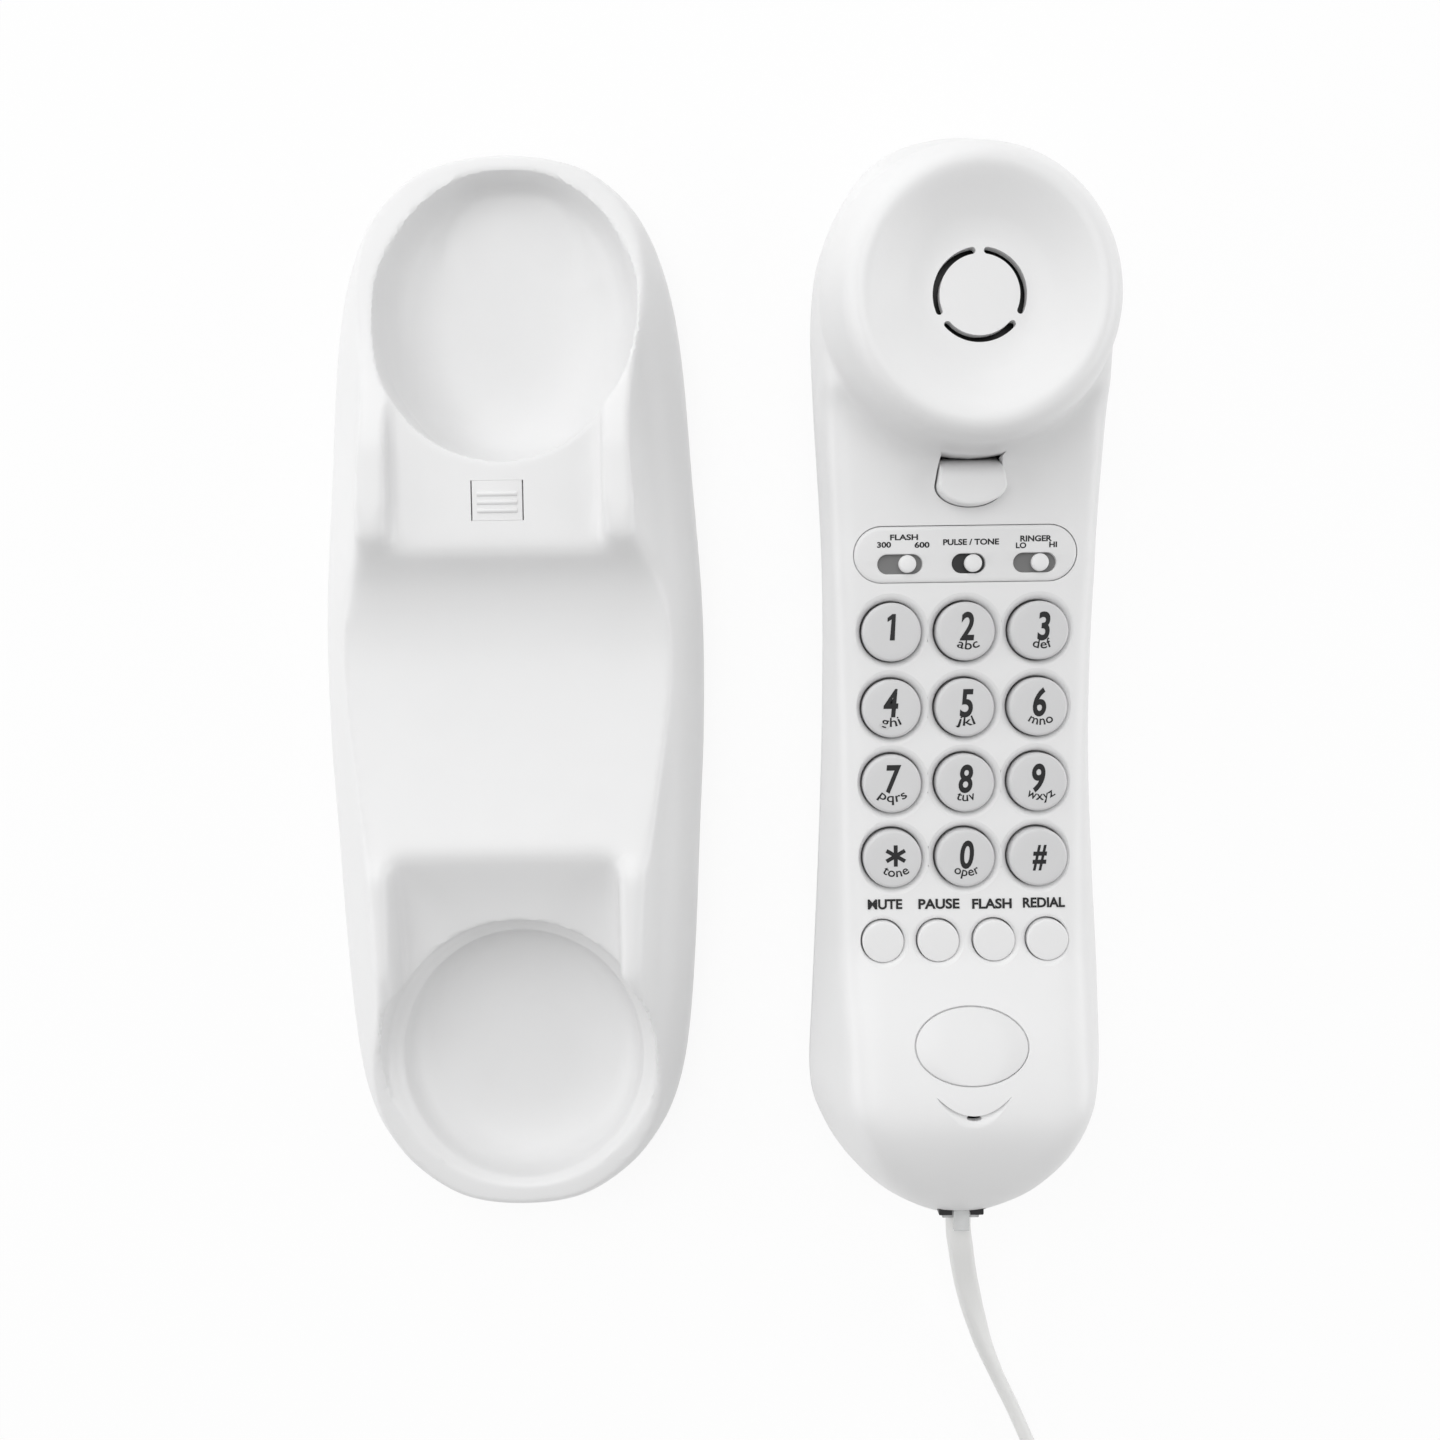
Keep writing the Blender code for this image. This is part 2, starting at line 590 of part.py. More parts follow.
def make_switches(panel_mat, knob_mat, dark):
    seat = face_z(PANEL_Y) - PANEL_DEPTH
    panel = prism("switch_panel", pill(0, PANEL_Y, *PANEL_HALF, 9), seat + 0.3, seat + 1.35,
                  panel_mat, HAND)
    windows = []
    for _, left, right, _ in SWITCHES:
        windows.append((pill((left + right) / 2, SWITCH_Y, (right - left) / 2, SLOT_HALF, 7), 20, 40))
    combine(panel, group_cutter("cut_panel_slots", windows, HAND))
    for name, left, right, x in SWITCHES:
        middle = (left + right) / 2
        body = box_ring(middle - 5.2, middle + 5.2, SWITCH_Y - 3, SWITCH_Y + 3)
        prism(f"{name}_switch", body, 20.9, 25.4, dark, HAND)
        centre = (x + HAND_X, SWITCH_Y + SHIFT_Y)
        profile = [(1.2, 25.8), (1.2, seat + 1.5), (KNOB_R, seat + 1.6), (KNOB_R, seat + 2.2),
                   (KNOB_R - 0.3, seat + 2.5)]
        turned(f"{name}_knob", profile, centre, knob_mat, 16, (*centre, seat + 2.5))


def make_hook(mat, dark):
    ring = plunger_outline(0, PLUNGER_TOP_Y)
    low, high = PLUNGER_Z
    centre_y = PLUNGER_MID_Y
    small = plunger_outline(-0.4, PLUNGER_TOP_Y - 0.4)
    rings = [flat(ring, low), flat(ring, high - 0.5), flat(small, high)]
    pivot = (HAND_X + PLUNGER_CENTRE_X, centre_y + SHIFT_Y, high)
    loft("hook_plunger", rings, mat, HAND, pivot)
    prism("hook_switch", box_ring(-6, 6, 34, 42), 12.5, 19.5, dark, HAND)


# ---------------------------------------------------------------- inside the handset


def make_electronics(board_mat, rubber, steel, dark, foam, brass):
    prism("circuit_board", box_ring(-19.5, 19.5, -58, 30.5), 17.2, 18.8, board_mat, HAND)
    prism("keypad_membrane", box_ring(-21, 21, -56.5, 17.5), 19.1, 20.9, rubber, HAND)
    centre = (HAND_X, 69.5 + SHIFT_Y)
    turned("receiver_capsule", [(10, 31), (18.6, 33.5), (18.6, 40.8), (15, 41.8)], centre, dark, 32)
    ring = prism("receiver_gasket", ellipse(0, 69.5, 18.6, 18.6), 42.1, 43.6, foam, HAND)
    combine(ring, group_cutter("cut_gasket", [(ellipse(0, 69.5, 14, 14), 40, 46)], HAND))
    centre = (HAND_X, MIC_Y + SHIFT_Y)
    turned("microphone_capsule", [(4.3, 24.3), (4.3, 29.2), (3.7, 30)], centre, steel, 20)
    boot = prism("microphone_boot", ellipse(0, MIC_Y, 5.6, 5.6, 24), 21.5, 31.5, rubber, HAND)
    combine(boot, group_cutter("cut_boot", [(ellipse(0, MIC_Y, 4.6, 4.6, 20), 24, 35)], HAND))
    centre = (HAND_X, 4 + SHIFT_Y)
    turned("ringer_disc", [(14, 3.4), (14, 5.4), (9, 6.4)], centre, brass, 28)
    prism("handset_weight", box_ring(-11, 11, -62, -24), 3.3, 9.3, steel, HAND)
    for place, y in zip(("upper", "lower"), HAND_SCREW_Y):
        make_screw(f"handset_screw_{place}", (HAND_X, y + SHIFT_Y), 0.5, 13, 2.7, steel)


def across_box(name, x, y, z, mat):
    return prism(name, box_ring(*x, *y), z[0], z[1], mat, HAND)


def make_line_jack(mat):
    half_x, half_z = JACK_HALF
    y0, y1 = JACK_Y
    jack = across_box("line_jack", (-half_x, half_x), JACK_Y, (JACK_Z - half_z, JACK_Z + half_z),
                      mat)
    gap = 0.25
    px, pz = HANDSET_PLUG_HALF
    room = across_box("cut_jack_room", (-px - gap, px + gap), (y0 - 5, y1 - 3),
                      (JACK_Z - pz - gap, JACK_Z + pz + gap), None)
    combine(jack, room)
    notch = across_box("cut_jack_notch", (-1.9, 1.9), (y0 - 5, y1 - 4),
                       (JACK_Z, JACK_Z + pz + 1.6), None)
    combine(jack, notch)
    return jack


def make_modular_plug(name, at, heading, half, mat):
    """Modular plug with its release lever on top; heading is where its nose points, radians."""
    px, pz = half
    length = 11.2
    bm = bmesh.new()
    body = [(-px, -pz), (px, -pz), (px, pz), (-px, pz)]
    rows = [[bm.verts.new((x, y, z)) for x, z in body] for y in (0, length)]
    for i in range(4):
        j = (i + 1) % 4
        bm.faces.new((rows[0][i], rows[0][j], rows[1][j], rows[1][i]))
    fill_flat(bm, rows[0])
    fill_flat(bm, rows[1])
    turn_and_place(bm, at, heading)
    plug = new_object(name, bm, mat)
    lever = bmesh.new()
    side = [(length - 1.5, pz - 0.6), (length - 1.5, pz + 0.5), (4, pz + 1.2), (-2.2, pz + 1.25),
            (-2.2, pz + 0.35), (4, pz + 0.3), (length - 4, pz - 0.6)]
    rows = [[lever.verts.new((x, y, z)) for y, z in side] for x in (-1.6, 1.6)]
    for i in range(len(side)):
        j = (i + 1) % len(side)
        lever.faces.new((rows[0][i], rows[0][j], rows[1][j], rows[1][i]))
    fill_flat(lever, rows[0])
    fill_flat(lever, rows[1])
    turn_and_place(lever, at, heading)
    combine(plug, new_object(f"join_{name}_lever", lever, None), "UNION")
    return plug


def turn_and_place(bm, at, heading):
    """Turn a plug modelled along +Y to its heading and put its cord end at the point."""
    turn = heading - math.pi / 2
    c, s = math.cos(turn), math.sin(turn)
    for vert in bm.verts:
        x, y, z = vert.co
        vert.co = (at[0] + c * x - s * y, at[1] + s * x + c * y, at[2] + z)


# ---------------------------------------------------------------- cord


def make_tube(name, points, diameter, resolution, mat):
    curve = bpy.data.curves.new(name, "CURVE")
    curve.dimensions = "3D"
    curve.bevel_depth = diameter / 2 * MM
    curve.bevel_resolution = resolution
    curve.use_fill_caps = True
    spline = curve.splines.new("POLY")
    spline.points.add(len(points) - 1)
    for point, place in zip(spline.points, points):
        point.co = (*(c * MM for c in place), 1)
    curve.materials.append(mat)
    obj = bpy.data.objects.new(name, curve)
    bpy.context.collection.objects.link(obj)
    return obj


def coil_points():
    """Clockwise coil in layers: spirals in and out, climbing a layer where the spiral turns."""
    cx, cy = COIL_CENTRE
    per_turn = 24
    turns = COIL_LAYERS * COIL_LAYER_TURNS + 0.25
    out = [(cx + COIL_OUTER, cy + COIL_LEAD, COIL_FLOOR)]
    for i in range(int(turns * per_turn) + 1):
        t = i / per_turn
        layer = min(int(t // COIL_LAYER_TURNS), COIL_LAYERS - 1)
        along = t - layer * COIL_LAYER_TURNS
        inward = along if layer % 2 == 0 else COIL_LAYER_TURNS - along
        radius = COIL_OUTER - COIL_PITCH * inward
        z = COIL_FLOOR
        for step in range(1, COIL_LAYERS):
            climb = (t - step * COIL_LAYER_TURNS) / 0.5 + 0.5
            z += COIL_PITCH * min(1.0, max(0.0, climb))
        angle = -2 * math.pi * t
        out.append((cx + radius * math.cos(angle), cy + radius * math.sin(angle), z))
    x, y, z = out[-1]
    out.append((x - COIL_LEAD, y, z))
    return out


def curve_length(points):
    return sum(math.dist(a, b) for a, b in zip(points, points[1:]))


def least_self_gap(points, diameter):
    """Least gap between stretches of a wound tube that are not neighbours along it."""
    fine = smooth_curve(points, 2)
    pts = np.array(fine)
    walk = np.concatenate([[0], np.cumsum(np.linalg.norm(np.diff(pts, axis=0), axis=1))])
    least = math.inf
    for i in range(len(pts)):
        far = np.abs(walk - walk[i]) > 4 * diameter
        if far.any():
            least = min(least, float(np.linalg.norm(pts[far] - pts[i], axis=1).min()))
    return least - diameter


def make_cord(mat, plug_mat, tie_mat):
    run = smooth_curve(CORD_ROUTE, 2)
    make_tube("line_cord", run, CORD_D, 2, mat)
    coil = coil_points()
    make_tube("cord_coil", coil, CORD_D, 1, mat)
    tail = smooth_curve(TAIL_ROUTE, 2)
    make_tube("cord_tail", tail, CORD_D, 2, mat)
    total = curve_length(run) + curve_length(coil) + curve_length(tail)
    print(f"cord: run {curve_length(run):.0f}, coil {curve_length(coil):.0f}, "
          f"tail {curve_length(tail):.0f}, total {total:.0f} mm")
    print(f"cord_coil least gap to itself {least_self_gap(coil, CORD_D):.2f} mm")
    make_modular_plug("handset_plug", (HAND_X, CORD_ROUTE[0][1] + 0.3, JACK_Z), math.pi / 2,
                      HANDSET_PLUG_HALF, plug_mat)
    end, before = TAIL_ROUTE[-1], TAIL_ROUTE[-2]
    heading = math.atan2(end[1] - before[1], end[0] - before[0])
    place = (end[0] + 0.3 * math.cos(heading), end[1] + 0.3 * math.sin(heading), end[2])
    make_modular_plug("wall_plug", place, heading, WALL_PLUG_HALF, plug_mat)
    make_cord_tie(tie_mat)


def make_cord_tie(mat):
    """Band round the coil's loops, on the side nearest the phone's axis."""
    cx, cy = COIL_CENTRE
    radius = CORD_D / 2 + 0.8
    inner = COIL_OUTER - COIL_PITCH * COIL_LAYER_TURNS - radius
    outer = COIL_OUTER + radius
    low = COIL_FLOOR - radius
    high = COIL_FLOOR + COIL_PITCH * (COIL_LAYERS - 1) + radius
    band = 0.6
    outside = [(cx - outer - band, low - band), (cx - inner + band, low - band),
               (cx - inner + band, high + band), (cx - outer - band, high + band)]
    inside = [(cx - outer, low), (cx - inner, low), (cx - inner, high), (cx - outer, high)]
    bm = bmesh.new()
    rings = []
    for ring, y in ((outside, cy - 4), (outside, cy + 4), (inside, cy + 4), (inside, cy - 4)):
        rings.append([(x, y, z) for x, z in ring])
    add_loft(bm, rings, (0, 0), closed=True)
    new_object("cord_tie", bm, mat, smooth=False)


def build():
    reset_scene()
    white = plastic("white_abs", (0.86, 0.86, 0.86), 0.36)
    face_white = plastic("key_white", (0.78, 0.78, 0.78), 0.42)
    panel_white = plastic("panel_white", (0.85, 0.85, 0.85), 0.22)
    plate = plastic("plate_grey", (0.62, 0.62, 0.62), 0.5)
    dark = plastic("dark_plastic", (0.06, 0.06, 0.06), 0.45)
    rubber = plastic("rubber", (0.3, 0.3, 0.3), 0.8)
    foam = plastic("foam", (0.12, 0.12, 0.12), 0.95)
    steel = plastic("steel", (0.55, 0.56, 0.57), 0.35, 1.0)
    brass = plastic("brass", (0.75, 0.6, 0.3), 0.35, 1.0)
    board = plastic("board_green", (0.05, 0.2, 0.09), 0.4)
    clear = plastic("clear_plug", (0.8, 0.82, 0.82), 0.15)
    cord = plastic("cord_white", (0.82, 0.82, 0.81), 0.45)

    make_cradle_shell(white)
    make_base_plate(plate)
    make_base_fittings(rubber, steel)
    make_retaining_tab(white)
    make_handset_front(white)
    make_handset_back(white)
    bent_plate("mouth_inlay", 0, -1.0, 0.1, panel_white)
    make_keys(face_white, face_white)
    make_switches(panel_white, white, dark)
    make_hook(white, dark)
    make_electronics(board, rubber, steel, dark, foam, brass)
    make_line_jack(dark)
    make_cord(cord, clear, dark)


build()
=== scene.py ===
"""Finish pass for the slimline wall phone: smooth mouldings, lettering, cord and materials.

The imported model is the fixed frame. Lengths are millimetres until a piece is placed; the ear ends
point to +Y. Each piece is an operator, so one can be made again alone after a size is changed.
"""

import math

import bmesh
import bpy
import numpy as np
from mathutils import Matrix, Vector


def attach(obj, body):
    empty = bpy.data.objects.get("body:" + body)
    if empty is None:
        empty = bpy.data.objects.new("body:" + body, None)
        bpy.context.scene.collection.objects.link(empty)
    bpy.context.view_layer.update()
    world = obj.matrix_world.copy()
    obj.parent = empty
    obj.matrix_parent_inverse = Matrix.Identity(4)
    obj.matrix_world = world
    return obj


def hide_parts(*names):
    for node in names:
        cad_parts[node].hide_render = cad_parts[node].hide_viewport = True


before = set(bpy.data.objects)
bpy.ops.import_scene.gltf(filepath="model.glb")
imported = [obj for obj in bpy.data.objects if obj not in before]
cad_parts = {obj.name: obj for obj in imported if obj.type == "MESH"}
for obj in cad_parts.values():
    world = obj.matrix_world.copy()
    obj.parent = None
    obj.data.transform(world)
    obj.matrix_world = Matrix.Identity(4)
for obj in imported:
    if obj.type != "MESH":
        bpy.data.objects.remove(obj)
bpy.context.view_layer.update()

bl_info = {
    "name": "Slimline wall phone",
    "version": (1, 0, 0),
    "blender": (4, 5, 0),
    "location": "3D View > Sidebar > Phone",
    "description": "Makes the smooth visual pieces of a slimline wall phone around its CAD frame",
    "category": "Add Mesh",
}

MM = 0.001
SHARP_DEGREES = 32
# Half length and half width of tools that have to pass right through a moulding.
BEYOND_ENDS, BEYOND_SIDES = 120, 60

# ---- places of the two pieces, world millimetres ----
SHIFT_Y = 2.35
BASE = (-40.6, SHIFT_Y, 0)
HAND = (49.7, SHIFT_Y, 0)

# ---- cradle, millimetres about its own axis ----
# Outlines are right halves, (x, y) from the ear end; ovals are (x, y, x radius, y radius).
# Lines, the lower deck and the hollow are (y, z); walls and the flank are (z, inset).
FOOT = [(0, 108.5), (12.4, 106.9), (20.6, 103.0), (28.1, 95.0), (32.9, 83), (35.6, 67.5),
        (37.4, 43), (39.2, 16), (39.2, -8), (38.1, -30), (36.8, -55), (35.2, -74),
        (33.0, -85.5), (29.4, -93.8), (22.8, -102), (12.6, -108.4), (0, -110.2)]
FLANK = [(0, 0.3), (3.1, 0.2), (8, 0.4), (13, 1.2), (18, 3.8), (23, 7.8), (29, 10.2), (36, 11.5)]
SHELL_FOOT_Z = 3.1
RAIL_LINE = [(116, 13), (108, 13.6), (100, 14.6), (92, 16.2), (84, 18.4), (76, 20.8), (70, 23),
             (64, 26), (58, 29.3), (52, 32.4), (47, 34.2), (43, 34.5), (30, 34.5), (27.5, 32.6),
             (25, 28.6), (22, 25.4), (18, 23.2), (12, 21.8), (4, 21.4), (-8, 22.5), (-22, 24.8),
             (-33.5, 27.4), (-36.5, 29.8), (-42, 30), (-56, 30), (-60, 28.6), (-65, 25.8),
             (-70, 23), (-76, 20.4), (-83, 18.4), (-91, 17), (-100, 16), (-116, 15)]
UPPER_DECK_Z = 30
UPPER_RAIL_X = 20.5
LOWER_RAIL_X = (-23.2, 21.9)
LOWER_DECK = [(-29, 28.6), (-33, 27.3), (-37, 24.8), (-42, 21.9), (-48, 19.7), (-56, 18.1),
              (-70, 17)]
EAR_BOWL = [(0, 104.1), (10.4, 102.2), (19.9, 95.0), (25.5, 83.4), (26.1, 72), (22.6, 59.0),
            (13.5, 48.4), (0, 44.4)]
EAR_BOWL_X, EAR_BOWL_SHARE = 0.9, 0.98
EAR_WALL = [(46, -0.9), (20, -0.4), (16, 0.2), (12.5, 1.3), (10, 2.9), (8.2, 5.2), (7, 8.2),
            (6.2, 12), (5.8, 17)]
MOUTH_BOWL = (0.55, -76.8, 24.9, 26.1)
MOUTH_WALL = [(46, -4.3), (19, -3.0), (16.6, -2.0), (15, -0.8), (14.4, -0.05), (13.4, 0.15),
              (11.5, 0.5), (9.8, 1.2), (8.3, 2.6), (7, 4.8), (6.1, 7.8), (5.5, 12), (5.3, 17)]
WALL_STEEP_Y = (86, 103)
WALL_STEEP_SHARE = 0.14
HOLLOW = [(40, -1), (40, 26.5), (29, 26.5), (24, 18), (14, 17.5), (-22, 20.5), (-33, 23),
          (-46, 12), (-46, -1)]
HOLLOW_X = 24
TAB_X = 4.85
TAB_RIBS = (37.4, 35.8, 34.2)
TAB_Y = (32.3, 40.0)
TAB_SIDE_GAP, TAB_END_GAP = 0.25, 0.03
TAB_TOP_THICK, TAB_LEG_IN, TAB_FOOT_Z = 3.0, 1.6, 17
RIB_R, RIB_HALF_X = 0.5, 3.9
DECK_SOFTENING = 80
CORNERS = ("upper_right", "upper_left", "lower_right", "lower_left")

# ---- handset, millimetres about its own axis ----
# The shells' levels run from the seam to the middle, as a share of the height and insets there.
# The cap's are (z, middle y, x radius, y radius).
HAND_OUTLINE = [(0, 106), (10.4, 103.7), (20.0, 96.7), (26.6, 85), (28.7, 73), (28.4, 56),
                (26.8, 24.7), (26.9, -4), (27.9, -33), (29.6, -66), (30.1, -82), (27.6, -91),
                (21.8, -100.3), (12.6, -108.7), (0, -113)]
FACE_LINE = [(107, 24), (104, 28), (101.5, 32), (98, 34.5), (94, 36), (60, 36), (53, 33.6),
             (47, 32.2), (38, 31.1), (30, 30.3), (24, 29.9), (10, 28.8), (-5, 27.8), (-20, 27.5),
             (-35, 27.6), (-52, 28.6), (-60, 31), (-70, 34.6), (-82, 37.4), (-88, 37),
             (-95, 33.8), (-102, 29), (-108, 23.5), (-114, 18)]
SEAM_LINE = [(107, 21), (60, 21), (20, 17), (-60, 15.5), (-100, 12), (-114, 10.5)]
FRONT_LEVELS = [(0, 0, 0), (0.45, 0.2, 3.0), (0.78, 1.0, 5.6), (0.94, 2.6, 8.0), (1, 5.2, 11.5)]
BACK_LEVELS = [(0, 0), (0.4, 0.5), (0.75, 2.5), (0.93, 5.5), (1, 10)]
SLOPE_FROM_Y, SLOPE_TO_Y = 20, -75
END_FROM_Y, END_TO_Y, END_SHARE = -88, -113, 0.45
WALL = 2.2
BACK_FLOOR_Z = 3.0
SEAM_GAP = 0.3
CAP_LEVELS = [(29, 70.4, 27.3, 31.4), (32.5, 71.4, 27.5, 30), (36, 72.0, 27.8, 28.8),
              (46, 70.4, 25.8, 27.1), (49.6, 70, 24.5, 25.8), (51.3, 69.8, 23.1, 24.4),
              (51.9, 69.6, 21.8, 23.0), (51.2, 69.7, 19.9, 21.0), (49, 69.9, 16.6, 17.4),
              (47, 70, 12.9, 13.5), (46.2, 70, 10, 10)]
THROAT_SOFTENING, CREST_SOFTENING = 70, 26
CAP_BORE_R = 20.2
CAP_BORE_Z = (20, 44)
RING_CENTRE = (0.0, 70.1)
RING_R = 7.9
RING_SLOT = 1.25
# Start and end of each arc of the slot, degrees.
RING_ARCS = [(100, 202), (222, 318), (338, 440)]
KEY_X = (-14.35, 0, 14.3)
KEY_Y = (9.8, -5.1, -19.9, -34.7)
KEY_R = 5.7
KEY_RISE = 1.3
KEY_FLANGE_Z = (22.6, 23.4)
KEY_GAP = 0.26
KEY_WELL_DEPTH = 2.1
KEY_SHIFT = (0.06, -0.09)
FUNCTION_KEYS = {"key_mute": -16.4, "key_pause": -5.5, "key_flash": 5.5, "key_redial": 16.0}
FUNCTION_Y = -51.1
FUNCTION_R = 4.05
FUNCTION_GAP = 0.2
FUNCTION_RISE = 0.6
FUNCTION_WELL = 0.85
PANEL_Y = 24.65
PANEL_HALF = (21.6, 5.4)
PANEL_SEAT = 1.3
PANEL_RISE = 0.06
SWITCH_Y = 22.8
SLOT_HALF = 1.9
SWITCH_ROOM = 0.5
# Ends of each slot and where its knob stands.
SWITCHES = {"flash_time": (-17.0, -8.3, -11.3), "dial_mode": (-2.6, 3.9, 1.4),
            "ringer_level": (9.3, 17.6, 14.3)}
KNOB_R = 1.7
KNOB_STEM_R = 1.2
# Half width, half depth, low and high z.
SWITCH_CASE = (5.2, 3, 20.9, 25.4)
PLUNGER_CENTRE_X = 0.8
PLUNGER_X = 6.5
PLUNGER_SLOT_Y = 43.6
PLUNGER_LIP_Y = 43.6
PLUNGER_ROLL_Y = 39.0
PLUNGER_MID_Y = 37.6
PLUNGER_Z = (26.0, 34.6)
PLUNGER_EDGE = 0.55
INLAY = (0, -70.6, 10.8, 7.1)
MIC_Y = -84.0
CRESCENT_HALF_X, CRESCENT_END_Y = 7.3, -79.7
CRESCENT_OUTER_Y, CRESCENT_INNER_Y = -86.1, -83.4
CRESCENT_FLOOR = [(0, 1.5), (0.25, 0.75), (0.6, 0.28), (1, -0.03)]
HAND_SCREW_Y = {"upper": 92.3, "lower": -93.5}
JACK_Z = 17.6
JACK_Y = (-109.3, -97.0)
JACK_SHOWN_Y = -107.9
JACK_HALF = (4.6, 4.3)
JACK_ROOM = 0.3
PLUG_GAP = 0.25
LATCH_HALF_X = 1.9
HANDSET_PLUG_HALF = (3.8, 3.3)
WALL_PLUG_HALF = (4.8, 3.3)
PLUG_LENGTH = {4: 10.8, 6: 11.2}
CONTACT_PITCH = 1.02

# ---- cord, the same route as its CAD solids, world millimetres ----
CORD_WIDTH = 5.2
CORD_ROUTE = [(49.7, -108.0, 17.6), (49.8, -112.0, 17.5), (50.3, -115.4, 16.8),
              (51.0, -119.4, 15.3), (51.9, -123.9, 13.4), (53.2, -129.2, 11.5),
              (54.8, -134.8, 9.4), (56.6, -140.5, 7.2), (58.7, -146.0, 5.2),
              (60.9, -151.3, 3.8), (63.9, -157.8, 2.9), (67.6, -166.5, 2.8),
              (71.8, -176.5, 3.0), (75.1, -186.5, 3.4), (76.8, -195.5, 3.9),
              (77.2, -202.6, 4.1)]
COIL_CENTRE = (41.2, -210.4)
COIL_OUTER = 36.0
COIL_PITCH = 5.75
COIL_LAYERS = 4
COIL_LAYER_TURNS = 2.5
COIL_FLOOR = 4.1
COIL_LEAD = 7.5
COIL_LAST_TURN = 0.25
COIL_CLIMB_TURNS = 0.5
# At each end, how long the cord stays flat and then how long it turns on its edge.
TURN_START, TURN_END = (6, 46), (8, 34)
TIE_THICK, TIE_HALF_Y, TIE_SQUARENESS = 0.6, 4, 0.45
TAIL_ROUTE = [(33.4, -247.84, 21.35), (27, -247.8, 20.8), (18, -247.6, 17.2), (8, -247.0, 10.6),
              (-2, -246.0, 5.4), (-10, -244.7, 3.5), (-17.5, -243.4, 3.4)]

# ---- lettering, millimetres from the key's middle or about the handset's axis ----
# Key, its numeral, the numeral's place, its letters, their width and place.
KEYPAD = [("key_1", "1", (0.2, 0.85), "", 0, 0),
          ("key_2", "2", (0.42, 0.85), "abc", 4.2, 0.45),
          ("key_3", "3", (0.9, 0.7), "def", 3.7, 0.52),
          ("key_4", "4", (-0.1, 0.95), "ghi", 3.85, -0.15),
          ("key_5", "5", (0.34, 0.8), "jkl", 3.4, 0.14),
          ("key_6", "6", (0.28, 0.8), "mno", 4.8, 0.45),
          ("key_7", "7", (0.18, 0.9), "pqrs", 5.5, 0.15),
          ("key_8", "8", (0.13, 0.75), "tuv", 3.75, 0.11),
          ("key_9", "9", (0.0, 0.75), "wxyz", 5.6, 0.45),
          ("key_star", "*", (0.6, 0.54), "tone", 5.2, 0.6),
          ("key_0", "0", (0.24, 0.6), "oper", 5.0, 0.2),
          ("key_hash", "#", (0.27, 0.3), "", 0, 0)]
NUMERAL_HEIGHT = 5.1
NUMERAL_SLANT = 5
LETTERS_Y = -3.05
LETTERS_HEIGHT = 1.15
LETTERS_ARC = 4.0
INK_HALF_THICK = 0.05
STAR_HALF, STAR_BAR_HALF = 2.1, 0.38
# Word, its width, height and place.
FACE_WORDS = [("MUTE", 6.8, 1.8, (-15.84, -43.85)), ("PAUSE", 8.1, 1.8, (-5.19, -43.9)),
              ("FLASH", 7.8, 1.8, (5.26, -44.0)), ("REDIAL", 8.3, 1.8, (15.52, -43.9))]
PANEL_WORDS = [("FLASH", 5.4, 1.0, (-11.86, 27.95)), ("300", 2.7, 1.0, (-15.72, 26.55)),
               ("600", 2.9, 1.0, (-8.38, 26.45)), ("PULSE / TONE", 10.8, 1.05, (1.09, 26.9)),
               ("RINGER", 6.1, 1.05, (13.64, 27.4)), ("LO", 2.0, 1.0, (10.76, 26.1)),
               ("HI", 1.5, 1.0, (16.95, 26.2))]
# Heights of the built-in font's capitals and small letters, for a size of one.
FONT_CAP, FONT_LOW = 0.682, 0.449

# ---- camera, world millimetres ----
CAMERA_AT = (1.82, 9.72, 301.97)
CAMERA_TILT = 3.0
CAMERA_ROLL = 0.8
CAMERA_LENS = 35
CAMERA_SENSOR = 36

# ---- light ----
SKY_LIGHT = 0.45
FLOOR_WHITE = 0.92
FLOOR_GLOW = 0.9
FLOOR_HALF = 6000
# Name, place in metres, side in metres and watts.
LAMPS = [("soft_box_top", (-0.3, 0.45, 1.3), 1.2, 7.6),
         ("soft_box_far", (-0.3, 1.2, 0.55), 1.2, 5),
         ("soft_box_left", (-1.3, 0, 0.35), 1.0, 4.6),
         ("soft_box_right", (1.3, 0, 0.35), 1.0, 5.8)]


# ---------------------------------------------------------------- points and outlines


def spline(points, steps):
    """Points on a Catmull-Rom curve through the given ones."""
    pts = [np.array(p, float) for p in points]
    pts = [2 * pts[0] - pts[1]] + pts + [2 * pts[-1] - pts[-2]]
    out = []
    for a, b, c, d in zip(pts, pts[1:], pts[2:], pts[3:]):
        for k in range(steps):
            t = k / steps
            out.append(0.5 * (2 * b + (c - a) * t + (2 * a - 5 * b + 4 * c - d) * t * t
                              + (3 * b - a - 3 * c + d) * t ** 3))
    out.append(pts[-2])
    return [tuple(float(v) for v in p) for p in out]


def mirrored(right_half, steps):
    """Closed outline from its right half, clockwise from the +Y end, both ends on the axis."""
    first = (-right_half[1][0], right_half[1][1])
    last = (-right_half[-2][0], right_half[-2][1])
    curve = spline([first] + list(right_half) + [last], steps)[steps:-steps]
    curve[0] = (0.0, curve[0][1])
    curve[-1] = (0.0, curve[-1][1])
    return curve + [(-x, y) for x, y in reversed(curve[1:-1])]


def inset(ring, distance):
    """The outline moved inwards by the distance, along its normals."""
    out = []
    for i, (x, y) in enumerate(ring):
        ax, ay = ring[i - 1]
        bx, by = ring[(i + 1) % len(ring)]
        length = math.hypot(bx - ax, by - ay)
        out.append((x + (by - ay) / length * distance, y - (bx - ax) / length * distance))
    return out


def clamp(value):
    return min(1.0, max(0.0, value))


def eased(value):
    """A soft start and end between nought and one."""
    t = clamp(value)
    return t * t * (3 - 2 * t)


